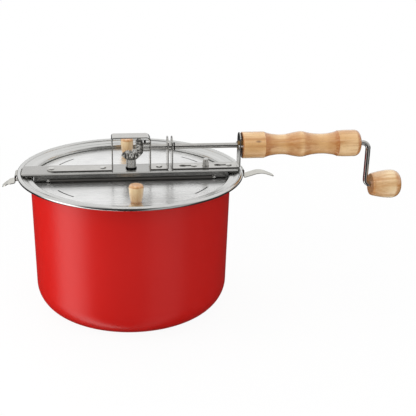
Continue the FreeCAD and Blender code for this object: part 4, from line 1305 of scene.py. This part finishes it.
@dataclass
class Straps(SubAssembly):
    """The two folded strap brackets, their rivets and the cap nut."""

    edge: float = 0.18 * MM
    rivet_edge: float = 0.08 * MM
    nut_edge: float = 0.25 * MM

    def build(self) -> None:
        """Dress the brackets and what fastens them."""
        for node, name in (("gear_bracket", "gear_strap"), ("grip_bracket", "grip_strap")):
            strap = softened_copy(node, name, self.edge)
            self.fit(strap, Body.LID, Metals.STRAP, "bright_steel", [node])
        for node in ("strap_rivets", "left_clip_rivet", "keyhole_rivets"):
            rivets = softened_copy(node, f"{node}_heads", self.rivet_edge)
            self.fit(rivets, Body.LID, Metals.RIVET, "brushed_aluminium", [node])
        nut = softened_copy("cap_nut", "cap_nut_body", self.nut_edge)
        self.fit(nut, Body.LID, Metals.RIVET, "bright_steel", ["cap_nut"])
        self.dress("nut_stud", Metals.ROD)


@dataclass
class Clips(SubAssembly):
    """The two spring clips."""

    edge: float = 0.14 * MM

    def build(self) -> None:
        """Dress the clips."""
        for side, body in (("left", Body.LEFT_CLIP), ("right", Body.RIGHT_CLIP)):
            clip = softened_copy(f"{side}_clip", f"{side}_spring_clip", self.edge)
            self.fit(clip, body, Metals.SPRING, "spring_steel", [f"{side}_clip"])


@dataclass
class GearTrain(SubAssembly):
    """The mitre gears, their pins and the flanged bush."""

    axis_height: float = 188.8 * MM
    root: float = 8.4 * MM
    tip: float = 11.0 * MM
    edge: float = 0.1 * MM
    kept_turn: float = 40.0
    pin_edge: float = 0.25 * MM
    bush_edge: float = 0.2 * MM

    def build(self) -> None:
        """Dress the gears and their pins."""
        centre = (0.0, 0.0, self.axis_height)
        upper = GearMetal("upper_gear_metal", centre, (0, 1, 1), self.root, self.tip)
        lower = GearMetal("lower_gear_metal", centre, (1, 1, 0), self.root, self.tip)
        for node, name, body, finish in (("drive_gear", "upper_bevel_gear", Body.CRANK, upper),
                                         ("driven_gear", "lower_bevel_gear", Body.STIRRER, lower)):
            gear = softened_copy(node, name, self.edge, self.kept_turn)
            self.fit(gear, body, finish, "gear_metal", [node])
        for node, body in (("drive_gear_pin", Body.CRANK), ("driven_gear_pin", Body.STIRRER)):
            pin = softened_copy(node, f"{node}_end", self.pin_edge)
            self.fit(pin, body, Metals.BLACK, "dark_steel", [node])
        bush = softened_copy("shaft_bush", "flanged_bush", self.bush_edge)
        self.fit(bush, Body.LID, Metals.BLACK, "dark_steel", ["shaft_bush"])


@dataclass
class Stirrer(SubAssembly):
    """What hangs in the pot."""

    edge: float = 0.2 * MM

    def build(self) -> None:
        """Dress the shaft, its collar and the wire."""
        for node, name in (("stirrer_shaft", "upright_shaft"), ("shaft_collar", "stop_collar"),
                           ("stirrer_wire", "stirring_wire")):
            piece = softened_copy(node, name, self.edge)
            self.fit(piece, Body.STIRRER, Metals.ROD, "bright_steel", [node])


@dataclass
class Crank(SubAssembly):
    """The bent rod, its rings and the turned knob on its end."""

    rod_edge: float = 0.25 * MM
    ring_edge: float = 0.15 * MM
    knob_start: float = 286.9 * MM
    knob_height: float = 136.8 * MM
    steps_round: int = 96
    knob: TurnedKnob = field(default_factory=lambda: TurnedKnob(
        35.6 * MM, 13.2 * MM, 16.9 * MM, 8.4 * MM, 3.09 * MM, 10.6 * MM, 6.5 * MM, 3.4 * MM))

    def build(self) -> None:
        """Dress the rod and turn the knob."""
        rod = softened_copy("crank_rod", "bent_rod", self.rod_edge)
        self.fit(rod, Body.CRANK, Metals.ROD, "bright_steel", ["crank_rod"])
        for node, finish, slot in (("rod_collar", Metals.ROD, "bright_steel"),
                                   ("rod_retaining_ring", Metals.BLACK, "dark_steel"),
                                   ("knob_spindle_nut", Metals.RIVET, "bright_steel")):
            piece = softened_copy(node, f"{node}_part", self.ring_edge)
            self.fit(piece, Body.CRANK, finish, slot, [node])
        foot = (self.knob_start, 0.0, self.knob_height)
        wood = lathe("crank_knob_wood", self.knob.outline(), self.steps_round)
        lay_along_x(wood, foot)
        smooth(wood, TURNED_TURN)
        finish = KnobBeech("crank_knob_beech", 0, foot)
        self.fit(wood, Body.KNOB, finish, "beech", ["crank_knob"])


@dataclass
class Grip(SubAssembly):
    """The fixed wooden grip with its bush and screws."""

    start: float = 127.5 * MM
    height: float = 188.8 * MM
    length: float = 140.9 * MM
    foot_radius: float = 15.3 * MM
    end_radius: float = 15.5 * MM
    bore: float = 3.5 * MM
    foot_break: float = 1.0 * MM
    end_round: float = 6.6 * MM
    shoulder: float = 26.0 * MM
    collar: float = 113.6 * MM
    collar_cut: float = 0.6 * MM
    bore_break: float = 0.5 * MM
    smooth_turn: float = 17.0
    knot_from_start: float = 17.5 * MM
    knot_out: float = 0.86
    knot_up: float = 0.5
    edge: float = 0.2 * MM
    screw_inset: float = 2.2 * MM
    slot_length: float = 6.0 * MM
    slot_width: float = 0.7 * MM
    slot_depth: float = 0.7 * MM
    foot_steps: int = 6
    cove_steps: int = 7
    swell_steps: int = 4
    end_steps: int = 14
    steps_round: int = 120
    coves: tuple[Point, ...] = (
        (26.3, 15.0), (32.5, 13.0), (40.5, 11.8), (46.5, 11.55), (52.5, 12.0), (60.5, 13.6), (66.5, 14.65),
        (70.0, 14.9), (73.5, 14.5), (80.5, 12.9), (88.5, 11.85), (94.5, 11.65), (100.5, 11.9), (108.5, 13.1),
        (113.2, 14.6),
    )
    swell_to_end: tuple[Point, ...] = ((1.0, 0.5), (6.0, 0.15), (11.0, 0.0))

    def outline(self) -> list[Point]:
        """Closed outline: plain cylinder, two coves with a swelling between, collar, rounded end.

        Returns:
            (radius, height) points from the foot to the rounded end and back through the bore.
        """
        points = [(self.bore, 0.0)]
        break_middle = (self.foot_radius - self.foot_break, self.foot_break)
        points += arc(break_middle, self.foot_break, -90, 0, self.foot_steps)
        points.append((self.foot_radius, self.shoulder))
        points += flowing([(place * MM, radius * MM) for place, radius in self.coves], self.cove_steps)
        points.append((self.end_radius - self.collar_cut, self.collar))
        points += flowing([(self.collar + past * MM, self.end_radius - less * MM)
                           for past, less in self.swell_to_end], self.swell_steps)
        round_middle = (self.end_radius - self.end_round, self.length - self.end_round)
        points += arc(round_middle, self.end_round, 0, 90, self.end_steps)
        points += [(self.bore + self.bore_break, self.length), (self.bore, self.length - self.bore_break)]
        return points

    def build(self) -> None:
        """Turn the grip and dress its bush and screws."""
        foot = (self.start, 0.0, self.height)
        wood = lathe("grip_wood", self.outline(), self.steps_round)
        lay_along_x(wood, foot)
        smooth(wood, self.smooth_turn)
        knot = (self.start + self.knot_from_start, -self.foot_radius * self.knot_out,
                self.height + self.foot_radius * self.knot_up)
        finish = Beech("grip_beech", 0, foot, knot=knot)
        self.fit(wood, Body.LID, finish, "beech", ["grip"])
        bush = softened_copy("grip_bush", "end_bush", self.edge)
        self.fit(bush, Body.LID, Metals.BRONZE, "brass_bush", ["grip_bush"])
        screws = softened_copy("grip_screws", "grip_screw_pair", self.edge)
        low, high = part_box("grip_screws")
        slots = []
        for side in (-1, 1):
            across = side * (high.y - self.screw_inset)
            wide, long = self.slot_width / 2, self.slot_length / 2
            slots.append(block("slot", (low.x - MM, across - wide, self.height - long),
                               (low.x + self.slot_depth, across + wide, self.height + long)))
        cut_with(screws, slots)
        smooth(screws)
        self.fit(screws, Body.LID, Metals.RIVET, "bright_steel", ["grip_screws"])


# Studio


@dataclass(frozen=True)
class Softbox:
    """One large soft lamp: where it hangs, the point it faces, its width and height, its power in watts."""

    name: str
    place: Place
    look_at: Place
    size: Span
    power: float
    mirrored: bool = False


@dataclass(frozen=True)
class Reflector:
    """A tall strip that shiny things show: its azimuth, where it is full and where it ends, in degrees."""

    azimuth: float
    full: float
    end: float
    glow: float

    def way(self) -> Place:
        """The level direction in which the strip stands."""
        turn = math.radians(self.azimuth)
        return (math.cos(turn), math.sin(turn), 0.0)


@dataclass
class Studio:
    """Pale floor, soft lights and the camera."""

    target: Place = (90.14 * MM, 0.0, 112.12 * MM)
    azimuth: float = -8.65
    elevation: float = 20.56
    distance: float = 1024.57 * MM
    roll: float = 1.39
    focal_pixels: float = 867.0
    picture_width: float = 416.0
    sensor: float = 36.0
    near_end: float = 0.01
    far_end: float = 50.0
    fill_light: float = 0.62
    fill_left: float = 1.25
    fill_right: float = 0.75
    horizon: Span = (-0.06, 0.08)
    darker_front: Span = (0.3, 0.92)
    tent_front: float = 0.1
    under_dark: float = 0.04
    reflectors: tuple[Reflector, ...] = (
        Reflector(192.0, 4.0, 26.0, 2.5),
        Reflector(307.0, 12.0, 27.0, 0.55),
    )
    floor_radius: float = 6.0
    floor_drop: float = 0.2 * MM
    floor_colour: tuple[float, ...] = (0.92, 0.92, 0.92, 1.0)
    white_from: Span = (0.2, 0.75)
    white_near: float = 0.94
    softboxes: tuple[Softbox, ...] = (
        Softbox("left card", (-0.40, -0.16, 0.22), (0.0, 0.0, 0.09), (0.34, 0.5), 1.1),
        Softbox("right card", (0.36, -0.42, 0.25), (0.0, 0.0, 0.09), (0.3, 0.5), 0.25),
        Softbox("top softbox", (0.1, 0.15, 1.2), (0.08, 0.0, 0.1), (1.3, 1.0), 5.0),
        Softbox("varnish strip", (0.12, -0.62, 0.75), (0.18, 0.0, 0.17), (0.8, 0.12), 0.5, mirrored=True),
    )

    def camera(self) -> None:
        """Set the camera at the photograph's viewing angle."""
        turn, rise = math.radians(self.azimuth), math.radians(self.elevation)
        back = Vector((math.sin(turn) * math.cos(rise), -math.cos(turn) * math.cos(rise), math.sin(rise)))
        place = Vector(self.target) + back * self.distance
        right = (-back).cross(Vector((0, 0, 1))).normalized()
        up = right.cross(-back).normalized()
        tilt = math.radians(self.roll)
        side = right * math.cos(tilt) + up * math.sin(tilt)
        top = up * math.cos(tilt) - right * math.sin(tilt)
        data = bpy.data.cameras.new("camera")
        data.sensor_fit = "HORIZONTAL"
        data.sensor_width = self.sensor
        data.lens = self.focal_pixels / self.picture_width * self.sensor
        data.clip_start = self.near_end
        data.clip_end = self.far_end
        camera = bpy.data.objects.new("camera", data)
        bpy.context.scene.collection.objects.link(camera)
        matrix = Matrix((side, top, back)).transposed().to_4x4()
        matrix.translation = place
        camera.matrix_world = matrix
        bpy.context.scene.camera = camera

    def world(self) -> None:
        """White for the camera, plain soft light on matte things, a white tent with reflectors for metal."""
        world = bpy.data.worlds.new("studio")
        bpy.context.scene.world = world
        room = Nodes(world)
        output = room.add("ShaderNodeOutputWorld")
        white, tent, lighting = (room.add("ShaderNodeBackground") for _ in range(3))
        for background in (white, tent, lighting):
            background.inputs["Color"].default_value = (1, 1, 1, 1)
        way = room.add("ShaderNodeTexCoord").outputs["Generated"]
        rise = room.dot(way, (0, 0, 1))
        above = room.spread(rise, *self.horizon, 0.0, 1.0)
        front = room.spread(room.dot(way, (0, -1, 0)), *self.darker_front, 1.0, self.tent_front)
        level = room.maths("MULTIPLY", above, front)
        flat = room.add("ShaderNodeVectorMath", operation="NORMALIZE")
        room.link(room.flattened(way, (1, 1, 0)), flat.inputs[0])
        below = room.maths("SUBTRACT", 1.0, above)
        for reflector in self.reflectors:
            facing = room.dot(flat.outputs[0], reflector.way())
            end, full = (math.cos(math.radians(turn)) for turn in (reflector.end, reflector.full))
            strip = room.spread(facing, end, full, 0.0, reflector.glow)
            level = room.maths("ADD", level, room.maths("MULTIPLY", strip, below))
        room.link(room.maths("ADD", level, self.under_dark), tent.inputs["Strength"])
        left, right = self.fill_light * self.fill_left, self.fill_light * self.fill_right
        lit = room.spread(room.dot(way, (1, 0, 0)), -1.0, 1.0, left, right)
        room.link(lit, lighting.inputs["Strength"])
        seen, shiny = room.mirror_rays()
        reflected = room.either(shiny, lighting.outputs[0], tent.outputs[0])
        room.link(room.either(seen, reflected, white.outputs[0]), output.inputs["Surface"])

    def floor(self) -> None:
        """Pale floor that keeps the popper's shadow and runs into the white backdrop."""
        clear_selection()
        bpy.ops.mesh.primitive_circle_add(vertices=96, radius=self.floor_radius, fill_type="NGON",
                                          location=(0, 0, -self.floor_drop))
        piece = named("floor")
        settle(piece)
        surface = Recipe("pale_floor")
        matte = surface.add("ShaderNodeBsdfDiffuse")
        matte.inputs["Color"].default_value = self.floor_colour
        glow = surface.add("ShaderNodeEmission")
        away = surface.radius_from(surface.mapped((1, 1, 1), (self.target[0], 0, 0)), (1, 1, 0))
        clear = surface.add("ShaderNodeBsdfTransparent")
        seen, shiny = surface.mirror_rays()
        pale = surface.maths("MULTIPLY", seen, surface.spread(away, *self.white_from, self.white_near, 1.0))
        plain = surface.either(pale, matte.outputs[0], glow.outputs[0])
        surface.link(surface.either(shiny, plain, clear.outputs[0]), surface.output.inputs["Surface"])
        surface.tree.nodes.remove(surface.shader)
        piece.data.materials.append(surface.material)

    def hang(self, softbox: Softbox) -> None:
        """Add one large soft lamp.

        Args:
            softbox: the lamp.
        """
        data = bpy.data.lights.new(softbox.name, "AREA")
        data.shape = "RECTANGLE"
        data.size, data.size_y = softbox.size
        data.energy = softbox.power
        lamp = bpy.data.objects.new(softbox.name, data)
        bpy.context.scene.collection.objects.link(lamp)
        place = Vector(softbox.place)
        way = Vector(softbox.look_at) - place
        lamp.visible_camera = False
        lamp.visible_glossy = softbox.mirrored
        lamp.matrix_world = Matrix.Translation(place) @ way.to_track_quat("-Z", "Y").to_matrix().to_4x4()

    def build(self) -> None:
        """Set up everything round the popper."""
        self.camera()
        self.world()
        self.floor()
        for softbox in self.softboxes:
            self.hang(softbox)
        bpy.context.scene.view_settings.view_transform = "Standard"


def main() -> None:
    """Build the popper and its studio."""
    logging.basicConfig(level=logging.INFO, format="%(name)s: %(message)s")
    assemblies: list[SubAssembly] = [
        Pot(),
        LidRing(),
        Channel(),
        Flap("front", -1),
        Flap("back", 1),
        Straps(),
        Clips(),
        GearTrain(),
        Stirrer(),
        Crank(),
        Grip(),
    ]
    for assembly in assemblies:
        LOG.info("building %s", type(assembly).__name__)
        assembly.build()
    Studio().build()


if __name__ == "__main__":
    main()
